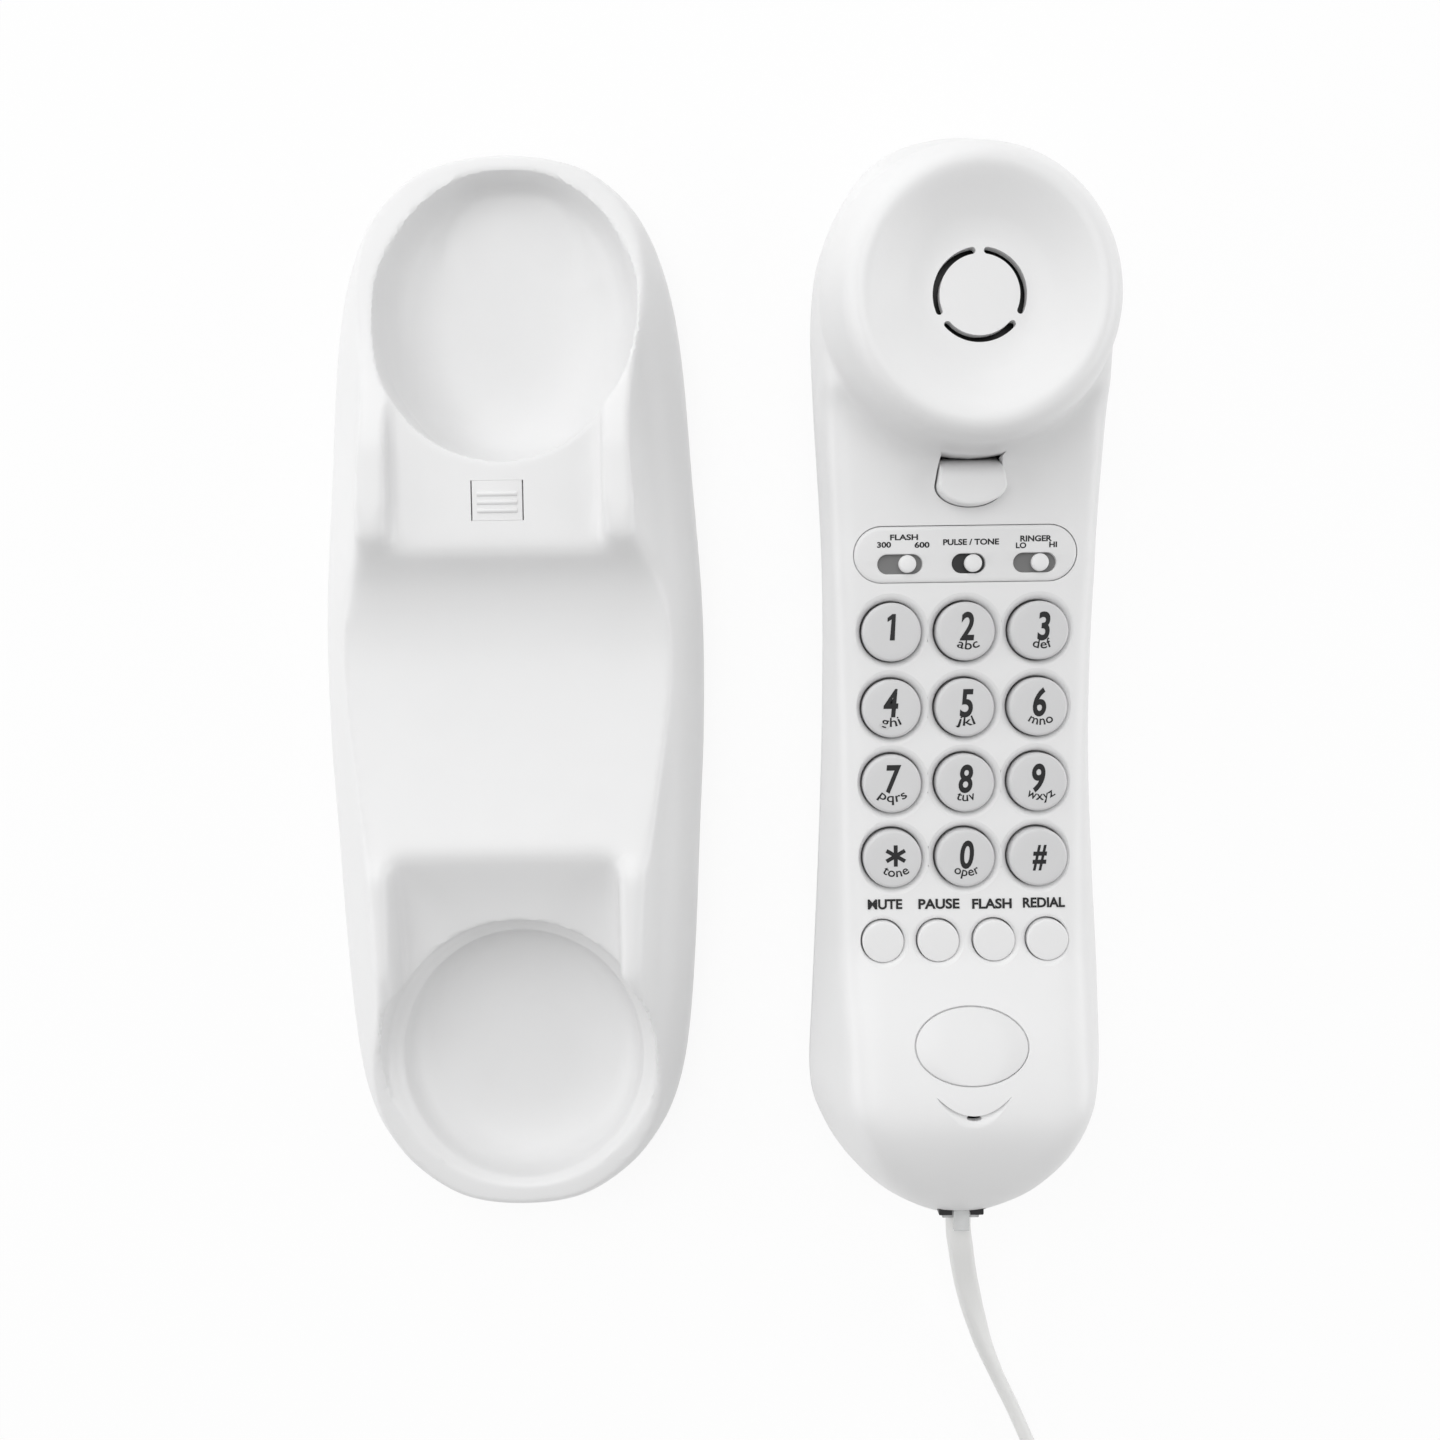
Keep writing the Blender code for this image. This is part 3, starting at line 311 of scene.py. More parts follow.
def quarter(steps):
    """Pairs along a quarter round, from its foot: how far across, and how far below its crown."""
    turns = [math.pi / 2 * k / steps for k in range(steps + 1)]
    return [(1 - math.cos(a), 1 - math.sin(a)) for a in turns]


def oblong(half_x, y0, y1, cx=0.0):
    return [(cx - half_x, y0), (cx + half_x, y0), (cx + half_x, y1), (cx - half_x, y1)]


def oval(cx, cy, rx, ry, sides=64):
    turns = [2 * math.pi * i / sides for i in range(sides)]
    return [(cx + rx * math.sin(a), cy + ry * math.cos(a)) for a in turns]


def pill(cx, cy, half_x, half_y, sides=18):
    """Outline with round ends at left and right."""
    out = []
    for side in (1, -1):
        for i in range(sides):
            a = math.pi * i / (sides - 1)
            out.append((cx + side * (half_x - half_y + half_y * math.sin(a)),
                        cy + side * half_y * math.cos(a)))
    return out


def flat(ring, z):
    return [(x, y, z) for x, y in ring]


def height_on(line, y):
    ys = [p[0] for p in reversed(line)]
    return float(np.interp(y, ys, [p[1] for p in reversed(line)]))


FACE_CURVE = spline(FACE_LINE, 6)


def face_z(y):
    return height_on(FACE_CURVE, y)


def seam_z(y):
    return height_on(SEAM_LINE, y)


# ---------------------------------------------------------------- mesh tools


def skin(bm, rows, closed=True, lids=True):
    """A grid laid on rows of points; closed rows meet themselves, and lids fill the ends."""
    across = len(rows[0]) if closed else len(rows[0]) - 1
    grid = bmesh.ops.create_grid(bm, x_segments=across, y_segments=len(rows) - 1, size=1)
    verts = grid["verts"]
    for i, vert in enumerate(verts):
        row = rows[i // (across + 1)]
        vert.co = row[i % (across + 1) % len(row)]
    if closed:
        bmesh.ops.remove_doubles(bm, verts=verts, dist=1e-4)
    if lids:
        verts = [v for v in verts if v.is_valid]
        rim = [e for e in {e for v in verts for e in v.link_edges} if e.is_boundary]
        bmesh.ops.holes_fill(bm, edges=rim, sides=0)
    return [v for v in verts if v.is_valid]


def solid(*parts):
    """A mesh from several sets of rows, each of them one closed skin."""
    bm = bmesh.new()
    for rows in parts:
        skin(bm, rows)
    bmesh.ops.recalc_face_normals(bm, faces=bm.faces)
    return bm


def upright(ring, z0, z1):
    return [flat(ring, z0), flat(ring, z1)]


def sideways(profile, x0, x1):
    """Rows of a (y, z) profile drawn across X."""
    return [[(x, y, z) for y, z in profile] for x in (x0, x1)]


def spun(profile, centre, sides):
    """Closed solid turned about +Z from (radius, z) points; the first and last are on the axis."""
    bm = bmesh.new()
    verts = [bm.verts.new((r, 0, z)) for r, z in profile]
    edges = [bm.edges.new(pair) for pair in zip(verts, verts[1:])]
    bmesh.ops.spin(bm, geom=verts + edges, cent=(0, 0, 0), axis=(0, 0, 1), angle=2 * math.pi,
                   steps=sides, use_merge=True, use_duplicate=False)
    bmesh.ops.remove_doubles(bm, verts=bm.verts, dist=1e-4)
    bmesh.ops.recalc_face_normals(bm, faces=bm.faces)
    bmesh.ops.translate(bm, verts=bm.verts, vec=Vector((centre[0], centre[1], 0)))
    return bm


def join(bm, *others):
    """Adds the other meshes to the first, and frees them."""
    for other in others:
        mesh = bpy.data.meshes.new("part")
        other.to_mesh(mesh)
        other.free()
        bm.from_mesh(mesh)
        bpy.data.meshes.remove(mesh)
    return bm


def work_object(bm, name="work"):
    mesh = bpy.data.meshes.new(name)
    bm.to_mesh(mesh)
    bm.free()
    obj = bpy.data.objects.new(name, mesh)
    bpy.context.scene.collection.objects.link(obj)
    return obj


def settle(obj):
    """Applies what the modifiers make of the mesh."""
    graph = bpy.context.evaluated_depsgraph_get()
    made = bpy.data.meshes.new_from_object(obj.evaluated_get(graph))
    made.materials.clear()
    old = obj.data
    obj.modifiers.clear()
    obj.data = made
    bpy.data.meshes.remove(old)


def moulded(obj, voxel, passes):
    """One even skin over the joined forms, its edges softened as a mould leaves them."""
    even = obj.modifiers.new("even", "REMESH")
    even.mode = "VOXEL"
    even.voxel_size = voxel
    soften = obj.modifiers.new("soften", "SMOOTH")
    soften.factor = 0.5
    soften.iterations = passes
    settle(obj)


def soften_near(obj, weight, passes):
    """More softening where weight(x, y, z) is above nought."""
    group = obj.vertex_groups.new(name="near")
    for vert in obj.data.vertices:
        share = weight(*vert.co)
        if share > 0.01:
            group.add([vert.index], share, "REPLACE")
    soften = obj.modifiers.new("soften", "SMOOTH")
    soften.factor = 0.5
    soften.iterations = passes
    soften.vertex_group = group.name
    settle(obj)
    obj.vertex_groups.clear()


def carve(obj, cutter, operation="DIFFERENCE"):
    """Boolean with a closed mesh, which has to change the piece."""
    before = len(obj.data.vertices)
    tool = work_object(cutter, "tool")
    cut = obj.modifiers.new("cut", "BOOLEAN")
    cut.operation = operation
    cut.solver = "MANIFOLD"
    cut.object = tool
    settle(obj)
    if len(obj.data.vertices) == before or not obj.data.vertices:
        raise RuntimeError(f"a cut in {obj.name} failed")
    mesh = tool.data
    bpy.data.objects.remove(tool)
    bpy.data.meshes.remove(mesh)


def drill(obj, ring, z0, z1):
    """Cuts an upright hole with the ring's outline."""
    carve(obj, solid(upright(ring, z0, z1)))


def bevel_edges(bm, edges, width, segments=3):
    bmesh.ops.bevel(bm, geom=list(edges), offset=width, segments=segments, profile=0.5,
                    affect="EDGES", material=-1, clamp_overlap=True)


def sharp_edges(bm, degrees=50):
    limit = math.radians(degrees)
    return [e for e in bm.edges if e.is_manifold and e.calc_face_angle(0) > limit]


def finish_piece(obj, name, looks, body, nodes, offset=(0, 0, 0)):
    """Puts a work object in its place in metres and ties it to its CAD body and nodes."""
    obj.name = name
    mesh = obj.data
    mesh.name = name
    mesh.transform(Matrix.Scale(MM, 4) @ Matrix.Translation(Vector(offset)))
    for look in looks:
        mesh.materials.append(material(look))
    mesh.shade_smooth()
    mesh.set_sharp_from_angle(angle=math.radians(SHARP_DEGREES))
    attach(obj, body)
    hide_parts(*nodes)
    return obj


# ---------------------------------------------------------------- materials


def shader_of(name, **values):
    """A Principled material with its plain values set; returns it with its tree and shader."""
    mat = bpy.data.materials.new(name)
    mat.use_nodes = True
    tree = mat.node_tree
    shader = tree.nodes["Principled BSDF"]
    for key, value in values.items():
        shader.inputs[key].default_value = value
    return mat, tree, shader


def noise(tree, scale, detail=3.0, roughness=0.5):
    where = tree.nodes.new("ShaderNodeTexCoord")
    field = tree.nodes.new("ShaderNodeTexNoise")
    field.inputs["Scale"].default_value = scale
    field.inputs["Detail"].default_value = detail
    field.inputs["Roughness"].default_value = roughness
    tree.links.new(where.outputs["Object"], field.inputs["Vector"])
    return field.outputs["Fac"]


def ramp(tree, value, low, high, colour_low, colour_high):
    node = tree.nodes.new("ShaderNodeValToRGB")
    node.color_ramp.elements[0].position = low
    node.color_ramp.elements[1].position = high
    node.color_ramp.elements[0].color = (*colour_low, 1)
    node.color_ramp.elements[1].color = (*colour_high, 1)
    tree.links.new(value, node.inputs["Fac"])
    return node.outputs["Color"]


def bump(tree, shader, value, distance, strength=1.0):
    node = tree.nodes.new("ShaderNodeBump")
    node.inputs["Distance"].default_value = distance
    node.inputs["Strength"].default_value = strength
    tree.links.new(value, node.inputs["Height"])
    tree.links.new(node.outputs["Normal"], shader.inputs["Normal"])


def moulded_plastic(name, colour, rough, grain=0.00002, grain_scale=2600, tint=0.012,
                    spread=0.055):
    """Moulded plastic: slow shifts of colour, uneven gloss and a fine mould grain."""
    mat, tree, shader = shader_of(name, IOR=1.5)
    light = [min(1, c + tint * 0.5) for c in colour]
    dark = [c - tint for c in colour]
    tree.links.new(ramp(tree, noise(tree, 22, 4), 0.35, 0.7, dark, light),
                   shader.inputs["Base Color"])
    shine = ramp(tree, noise(tree, 160, 5, 0.6), 0.3, 0.75, [rough - spread] * 3,
                 [rough + spread] * 3)
    tree.links.new(shine, shader.inputs["Roughness"])
    bump(tree, shader, noise(tree, grain_scale, 3, 0.6), grain, 0.6)
    return mat


def make_materials(finish):
    white = list(finish.body_colour)
    key = list(finish.key_colour)
    return {
        "white": moulded_plastic("white_satin_abs", white, finish.gloss),
        "key": moulded_plastic("key_face_grey", key, 0.42, 0.00003, 3200),
        "panel": moulded_plastic("panel_gloss_white", [c * 0.97 for c in white], 0.28,
                                 0.000008, 1200, 0.003, 0.003),
        "ink": moulded_plastic("lettering_ink", list(finish.ink_colour), 0.5, 0.00001, 4000,
                               0.004),
        "dark": moulded_plastic("dark_plastic", [0.02, 0.02, 0.021], 0.4, 0.00002, 2400, 0.004),
        "plate": moulded_plastic("plate_grey", [0.62, 0.62, 0.61], 0.5, 0.00006, 1500),
        "cord": moulded_plastic("cord_jacket", [0.8, 0.8, 0.79], 0.4, 0.00002, 1800),
        "rubber": moulded_plastic("soft_rubber", [0.16, 0.16, 0.165], 0.75, 0.00004, 2200, 0.02),
        "foam": moulded_plastic("foam_ring", [0.08, 0.08, 0.085], 0.9, 0.0002, 900, 0.02),
        "steel": metal("zinc_plated_steel", (0.6, 0.6, 0.6), 0.32),
        "brass": metal("brass_disc", (0.75, 0.58, 0.28), 0.3),
        "gold": metal("contact_gold", (0.85, 0.62, 0.25), 0.22),
        "board": moulded_plastic("board_green", [0.03, 0.16, 0.07], 0.35, 0.00003, 800, 0.02),
        "slider": moulded_plastic("slider_grey", [0.2, 0.2, 0.2], 0.45, 0.00002, 2400, 0.01),
        "clear": clear_plastic(),
    }


def metal(name, colour, rough):
    mat, tree, shader = shader_of(name, Metallic=1.0)
    low = [c * 0.85 for c in colour]
    tree.links.new(ramp(tree, noise(tree, 240, 4), 0.3, 0.7, low, list(colour)),
                   shader.inputs["Base Color"])
    shine = ramp(tree, noise(tree, 900, 3), 0.3, 0.7, [rough - 0.08] * 3, [rough + 0.1] * 3)
    tree.links.new(shine, shader.inputs["Roughness"])
    return mat


def clear_plastic():
    mat, tree, shader = shader_of("clear_plug", IOR=1.58, Roughness=0.12)
    shader.inputs["Transmission Weight"].default_value = 0.55
    colour = ramp(tree, noise(tree, 120, 2), 0.3, 0.7, (0.88, 0.89, 0.9), (0.96, 0.97, 0.97))
    tree.links.new(colour, shader.inputs["Base Color"])
    bump(tree, shader, noise(tree, 500, 2), 0.00001, 0.5)
    return mat


MATERIALS = {}


def material(name):
    if not MATERIALS:
        MATERIALS.update(make_materials(bpy.context.scene.phone_finish))
    return MATERIALS[name]


# ---------------------------------------------------------------- sizes and colours


class PhoneFinish(bpy.types.PropertyGroup):
    """Colours and gloss of the phone's plastics."""

    body_colour: bpy.props.FloatVectorProperty(
        name="Body colour", description="White of the cradle, handset and cord jacket",
        default=(0.83, 0.83, 0.832), subtype="COLOR", min=0, max=1)
    key_colour: bpy.props.FloatVectorProperty(
        name="Key colour", description="Grey of the twelve dialling keys",
        default=(0.66, 0.66, 0.665), subtype="COLOR", min=0, max=1)
    ink_colour: bpy.props.FloatVectorProperty(
        name="Lettering colour", description="Ink of the numbers and words",
        default=(0.006, 0.006, 0.007), subtype="COLOR", min=0, max=1)
    gloss: bpy.props.FloatProperty(
        name="Body roughness", description="Roughness of the white plastic",
        default=0.38, min=0.1, max=0.9, subtype="FACTOR")


class PhoneShape(bpy.types.PropertyGroup):
    """Sizes of the visual mouldings."""

    voxel: bpy.props.FloatProperty(
        name="Skin step", description="Spacing of the skin on the cradle and handset, millimetres",
        default=0.62, min=0.4, max=2.0)
    key_edge: bpy.props.FloatProperty(
        name="Key edge radius", description="Rounding at the top of each key, millimetres",
        default=0.65, min=0.1, max=1.0)
    well_radius: bpy.props.FloatProperty(
        name="Key well radius", description="Rounding of the face down into each key's hole",
        default=1.45, min=0.2, max=1.8)
    cord_thickness: bpy.props.FloatProperty(
        name="Cord thickness", description="Flat cord's smaller side, millimetres",
        default=2.9, min=1.9, max=4.0)


# ---------------------------------------------------------------- stage


class PHONE_OT_stage(bpy.types.Operator):
    """Camera, pale floor and soft lamps"""

    bl_idname = "phone.stage"
    bl_label = "Stage"

    def execute(self, context):
        self.camera(context)
        self.floor(context)
        self.lamps(context)
        return {"FINISHED"}

    def camera(self, context):
        tilt, roll = math.radians(CAMERA_TILT), math.radians(CAMERA_ROLL)
        right = Vector((1, 0, 0))
        up = Vector((0, math.cos(tilt), -math.sin(tilt)))
        ahead = Vector((0, -math.sin(tilt), -math.cos(tilt)))
        side = right * math.cos(roll) - up * math.sin(roll)
        top = right * math.sin(roll) + up * math.cos(roll)
        data = bpy.data.cameras.new("camera")
        data.lens = CAMERA_LENS
        data.sensor_width = CAMERA_SENSOR
        data.clip_start = 0.01
        data.clip_end = 20
        cam = bpy.data.objects.new("camera", data)
        turn = Matrix((side, top, -ahead)).transposed().to_4x4()
        cam.matrix_world = Matrix.Translation(Vector(CAMERA_AT) * MM) @ turn
        context.scene.collection.objects.link(cam)
        context.scene.camera = cam

    def floor(self, context):
        bm = bmesh.new()
        bmesh.ops.create_grid(bm, x_segments=8, y_segments=8, size=FLOOR_HALF)
        floor = work_object(bm, "floor")
        floor.data.transform(Matrix.Scale(MM, 4) @ Matrix.Translation((0, 0, -0.02)))
        floor.data.materials.append(self.floor_material())

    def floor_material(self):
        """White to the eye and in reflections, with the phone's own shadow kept."""
        mat, tree, shader = shader_of("seamless_white", Roughness=0.9)
        shader.inputs["Base Color"].default_value = (*[FLOOR_WHITE] * 3, 1)
        shader.inputs["Specular IOR Level"].default_value = 0.0
        nodes, links = tree.nodes, tree.links
        rays = nodes.new("ShaderNodeLightPath").outputs
        seen = rays["Is Camera Ray"]
        for kind in ("Is Glossy Ray", "Is Transmission Ray"):
            seen = self.combined(tree, "MAXIMUM", seen, rays[kind])
        share = self.combined(tree, "MULTIPLY", seen, FLOOR_GLOW)
        glow = nodes.new("ShaderNodeEmission")
        glow.inputs["Strength"].default_value = 1.0
        mix = nodes.new("ShaderNodeMixShader")
        links.new(share, mix.inputs["Fac"])
        links.new(shader.outputs["BSDF"], mix.inputs[1])
        links.new(glow.outputs["Emission"], mix.inputs[2])
        links.new(mix.outputs["Shader"], nodes["Material Output"].inputs["Surface"])
        return mat

    def combined(self, tree, operation, first, second):
        """Output of a Math node; the second value is a socket or a plain number."""
        node = tree.nodes.new("ShaderNodeMath")
        node.operation = operation
        tree.links.new(first, node.inputs[0])
        if isinstance(second, float):
            node.inputs[1].default_value = second
        else:
            tree.links.new(second, node.inputs[1])
        return node.outputs[0]

    def lamps(self, context):
        scene = context.scene
        scene.view_settings.view_transform = "Standard"
        world = bpy.data.worlds.new("sky")
        scene.world = world
        world.use_nodes = True
        tree = world.node_tree
        tree.nodes.clear()
        out = tree.nodes.new("ShaderNodeOutputWorld")
        around = tree.nodes.new("ShaderNodeBackground")
        around.inputs["Color"].default_value = (1, 1, 1, 1)
        around.inputs["Strength"].default_value = SKY_LIGHT
        tree.links.new(around.outputs["Background"], out.inputs["Surface"])
        for lamp in LAMPS:
            self.lamp(context, *lamp)

    def lamp(self, context, name, at, size, power):
        data = bpy.data.lights.new(name, "AREA")
        data.shape = "SQUARE"
        data.size = size
        data.energy = power
        lamp = bpy.data.objects.new(name, data)
        lamp.location = at
        lamp.rotation_euler = (-Vector(at)).to_track_quat("-Z", "Y").to_euler()
        context.scene.collection.objects.link(lamp)


# ---------------------------------------------------------------- cord


def coil_points():
    """Clockwise coil in layers: spirals in and out, climbing a layer where the spiral turns."""
    cx, cy = COIL_CENTRE
    per_turn = 48
    turns = COIL_LAYERS * COIL_LAYER_TURNS + COIL_LAST_TURN
    out = [(cx + COIL_OUTER, cy + COIL_LEAD, COIL_FLOOR)]
    for i in range(int(turns * per_turn) + 1):
        t = i / per_turn
        layer = min(int(t // COIL_LAYER_TURNS), COIL_LAYERS - 1)
        along = t - layer * COIL_LAYER_TURNS
        inward = along if layer % 2 == 0 else COIL_LAYER_TURNS - along
        radius = COIL_OUTER - COIL_PITCH * inward
        z = COIL_FLOOR
        for step in range(1, COIL_LAYERS):
            z += COIL_PITCH * eased((t - step * COIL_LAYER_TURNS) / COIL_CLIMB_TURNS + 0.5)
        angle = -2 * math.pi * t
        out.append((cx + radius * math.cos(angle), cy + radius * math.sin(angle), z))
    x, y, z = out[-1]
    out.append((x - COIL_LEAD, y, z))
    return out


def cord_path():
    """The whole cord from the handset plug to the wall plug, millimetres."""
    path = spline(CORD_ROUTE, 4) + coil_points()[1:]
    tail = spline([path[-1]] + TAIL_ROUTE[1:], 4)
    return path[:-1] + tail


def length_of(points):
    return sum(math.dist(a, b) for a, b in zip(points, points[1:]))


class PHONE_OT_cord(bpy.types.Operator):
    """Flat cord, its coil, tie and the two modular plugs"""

    bl_idname = "phone.cord"
    bl_label = "Cord"

    def execute(self, context):
        path = cord_path()
        cord = self.jacket(path, context.scene.phone_shape.cord_thickness)
        tie = self.tie()
        plug = self.plug("handset_plug_clear", "handset_plug", (HAND[0], HAND[1] + JACK_Y[0] - 0.9,
                         JACK_Z), math.pi / 2, HANDSET_PLUG_HALF, 4)
        end, before = TAIL_ROUTE[-1], TAIL_ROUTE[-2]
        heading = math.atan2(end[1] - before[1], end[0] - before[0])
        place = (end[0] + 0.3 * math.cos(heading), end[1] + 0.3 * math.sin(heading), end[2])
        wall = self.plug("wall_plug_clear", "wall_plug", place, heading, WALL_PLUG_HALF, 6)
        return {"FINISHED"}

    def jacket(self, path, thick):
        """Flat at the handset's plug and on its edge in the coil, with a slow twist between."""
        section = pill(0, 0, CORD_WIDTH / 2, thick / 2, 7)
        walk, rows = 0.0, []
        total = length_of(path)
        for i, point in enumerate(path):
            here = Vector(point)
            before = Vector(path[max(i - 1, 0)])
            after = Vector(path[min(i + 1, len(path) - 1)])
            ahead = (after - before).normalized()
            walk += (here - before).length
            side = ahead.cross(Vector((0, 0, 1))).normalized()
            up = side.cross(ahead)
            turn = self.roll(walk, total)
            across = side * math.cos(turn) + up * math.sin(turn)
            other = ahead.cross(across)
            rows.append([tuple(here + across * u + other * v) for u, v in section])
        return finish_piece(work_object(solid(rows)), "line_cord_flat", ["cord"], "handset",
                            ["line_cord", "cord_coil", "cord_tail"])

    def roll(self, walk, total):
        """Roll of the flat section about the path, radians."""
        (skip, start), (keep, end) = TURN_START, TURN_END
        return math.pi / 2 * min(eased((walk - skip) / start), eased((total - keep - walk) / end))

    def tie(self):
        """Band round the coil's loops, with rounded edges."""
        cx, cy = COIL_CENTRE
        radius = CORD_WIDTH / 2 + 0.8
        inner = COIL_OUTER - COIL_PITCH * COIL_LAYER_TURNS - radius
        outer = COIL_OUTER + radius
        low = COIL_FLOOR - radius
        high = COIL_FLOOR + COIL_PITCH * (COIL_LAYERS - 1) + radius
        middle = (cx - (outer + inner) / 2, (low + high) / 2)
        half = ((outer - inner) / 2, (high - low) / 2)
        rows = []
        y = TIE_HALF_Y
        for grow, y in ((TIE_THICK, -y), (TIE_THICK, y), (0.0, y), (0.0, -y)):
            ring = []
            for c, s in oval(0, 0, 1, 1):
                x = math.copysign(abs(c) ** TIE_SQUARENESS, c) * (half[0] + grow)
                z = math.copysign(abs(s) ** TIE_SQUARENESS, s) * (half[1] + grow)
                ring.append((middle[0] + x, cy + y, middle[1] + z))
            rows.append(ring)
        bm = bmesh.new()
        skin(bm, rows + [rows[0]], lids=False)
        bmesh.ops.remove_doubles(bm, verts=bm.verts, dist=1e-4)
        bmesh.ops.recalc_face_normals(bm, faces=bm.faces)
        bevel_edges(bm, sharp_edges(bm), 0.15, 2)
        return finish_piece(work_object(bm), "cord_tie_band", ["dark"], "handset", ["cord_tie"])

    def plug(self, name, node, at, heading, half, contacts):
        """Modular plug: clear body, latch, grooves with gold contacts and the jacket's mouth."""
        px, pz = half
        length = PLUG_LENGTH[contacts]
        body = solid(upright(oblong(px, 0, length), -pz, pz))
        bevel_edges(body, body.edges, 0.25, 2)
        body = work_object(body)
        carve(body, solid(*self.blades(contacts, 0.27, (length - 3.6, length + 1),
                                       (-pz - 1, -pz + 1.3))))
        drill(body, oblong(px - 0.7, -0.5, 1.0), -1.9, 1.9)
        side = [(length - 1.5, pz - 0.6), (length - 1.5, pz + 0.5), (4, pz + 1.2),
                (-2.2, pz + 1.25), (-2.2, pz + 0.35), (4, pz + 0.3), (length - 4, pz - 0.6)]
        lever = solid(sideways(side, -1.6, 1.6))
        bevel_edges(lever, sharp_edges(lever, 20), 0.12, 2)
        gold = solid(*self.blades(contacts, 0.17, (length - 3.2, length - 0.3),
                                  (-pz + 0.25, -pz + 1.2)))
        for face in gold.faces:
            face.material_index = 1
        clear = bmesh.new()
        clear.from_mesh(body.data)
        old = body.data
        bpy.data.objects.remove(body)
        bpy.data.meshes.remove(old)
        join(clear, lever, gold)
        turn = Matrix.Translation(Vector(at)) @ Matrix.Rotation(heading - math.pi / 2, 4, "Z")
        bmesh.ops.transform(clear, matrix=turn, verts=clear.verts)
        return finish_piece(work_object(clear), name, ["clear", "gold"], "handset", [node])

    def blades(self, count, half, along, high):
        """Rows of the upright slips at a plug's contacts, side by side."""
        middles = [(k - (count - 1) / 2) * CONTACT_PITCH for k in range(count)]
        return [upright(oblong(half, *along, cx=x), *high) for x in middles]


# ---------------------------------------------------------------- cradle


def bowl_ring(outline, distance, z):
    """The outline drawn in for the bowl's wall, which stands steeper at the far end."""
    near, far = WALL_STEEP_Y
    out = []
    for (x0, y0), (x1, y1) in zip(outline, inset(outline, distance)):
        past = clamp((y0 - near) / (far - near))
        share = 1 - past * (1 - WALL_STEEP_SHARE) if distance > 0 else 1
        out.append((x0 + share * (x1 - x0), y0 + share * (y1 - y0), z))
    return out


class PHONE_OT_cradle(bpy.types.Operator):
    """Cradle moulding and its retaining tab"""

    bl_idname = "phone.cradle"
    bl_label = "Cradle"

    def execute(self, context):
        self.shell(context.scene.phone_shape.voxel)
        self.tab()
        return {"FINISHED"}

    def shell(self, voxel):
        foot = mirrored(FOOT, 8)
        obj = work_object(solid([flat(inset(foot, d), z) for z, d in spline(FLANK, 5)]))
        rails = spline(RAIL_LINE, 5)
        over = [(116, BEYOND_SIDES), (-116, BEYOND_SIDES)] + list(reversed(rails))
        carve(obj, solid(sideways(over, -BEYOND_SIDES, BEYOND_SIDES)))
        deck = [(21, UPPER_DECK_Z), (21, 60), (64, 60), (64, UPPER_DECK_Z)]
        carve(obj, solid(sideways(deck, -UPPER_RAIL_X, UPPER_RAIL_X)))
        lower = [(-30, 60)] + spline(LOWER_DECK, 4) + [(-70, 60)]
        carve(obj, solid(sideways(lower, *LOWER_RAIL_X)))
        moulded(obj, voxel, 4)
        soften_near(obj, self.soft_steps, DECK_SOFTENING)
        ear = [(EAR_BOWL_X + x * EAR_BOWL_SHARE, y) for x, y in mirrored(EAR_BOWL, 10)]
        carve(obj, solid([bowl_ring(ear, d, z) for z, d in spline(EAR_WALL, 4)]))
        mouth = oval(*MOUTH_BOWL, sides=128)
        carve(obj, solid([flat(inset(mouth, d), z) for z, d in spline(MOUTH_WALL, 4)]))
        moulded(obj, voxel, 2)
        drill(obj, oblong(BEYOND_SIDES, -BEYOND_ENDS, BEYOND_ENDS), -5, SHELL_FOOT_Z)
        carve(obj, solid(sideways(HOLLOW, -HOLLOW_X, HOLLOW_X)))
        y0, y1 = TAB_Y
        drill(obj, oblong(TAB_X + TAB_SIDE_GAP, y0 - TAB_END_GAP, y1 + TAB_END_GAP), 20, 50)
        finish_piece(obj, "cradle_moulding", ["white"], "base", ["cradle_shell"],
                     BASE)

    def soft_steps(self, x, y, z):
        """Where the decks step down; the mould has wide rounds there."""
        upper = min(1.0, (y - 14) / 4, (35 - y) / 6, (z - 20) / 3)
        lower = min(1.0, (y + 64) / 5, (-21 - y) / 4, (29.5 - abs(x)) / 3, (z - 12) / 3)
        return max(0.0, upper, lower)

    def tab(self):
        y0, y1 = TAB_Y
        top = UPPER_DECK_Z
        low = top - TAB_TOP_THICK
        leg0, leg1 = y0 + TAB_LEG_IN, y1 - TAB_LEG_IN
        profile = [(y0, top), (y0, low), (leg0, low), (leg0, TAB_FOOT_Z), (leg1, TAB_FOOT_Z),
                   (leg1, low), (y1, low), (y1, top)]
        bm = solid(sideways(profile, -TAB_X, TAB_X))
        sides = [e for e in bm.edges if all(abs(v.co.z - top) < 0.01 for v in e.verts)
                 and abs(e.verts[0].co.x - e.verts[1].co.x) < 0.01]
        bevel_edges(bm, sides, 0.12, 3)
        for y in TAB_RIBS:
            turns = [math.pi * k / 8 for k in range(9)]
            arch = [(y + RIB_R * math.cos(a), top - 0.1 + RIB_R * math.sin(a)) for a in turns]
            rib = solid(sideways(arch, -RIB_HALF_X, RIB_HALF_X))
            bevel_edges(rib, sharp_edges(rib, 60), 0.1, 2)
            join(bm, rib)
        finish_piece(work_object(bm), "retaining_tab_ribbed", ["white"], "tab",
                     ["retaining_tab"], BASE)


# ---------------------------------------------------------------- handset


def slope_share(y):
    """How much of the mouth end's side slope the front shell has at y."""
    share = clamp((SLOPE_FROM_Y - y) / (SLOPE_FROM_Y - SLOPE_TO_Y))
    past = max(0.0, (END_FROM_Y - y) / (END_FROM_Y - END_TO_Y))
    return share * (1 - past * (1 - END_SHARE))


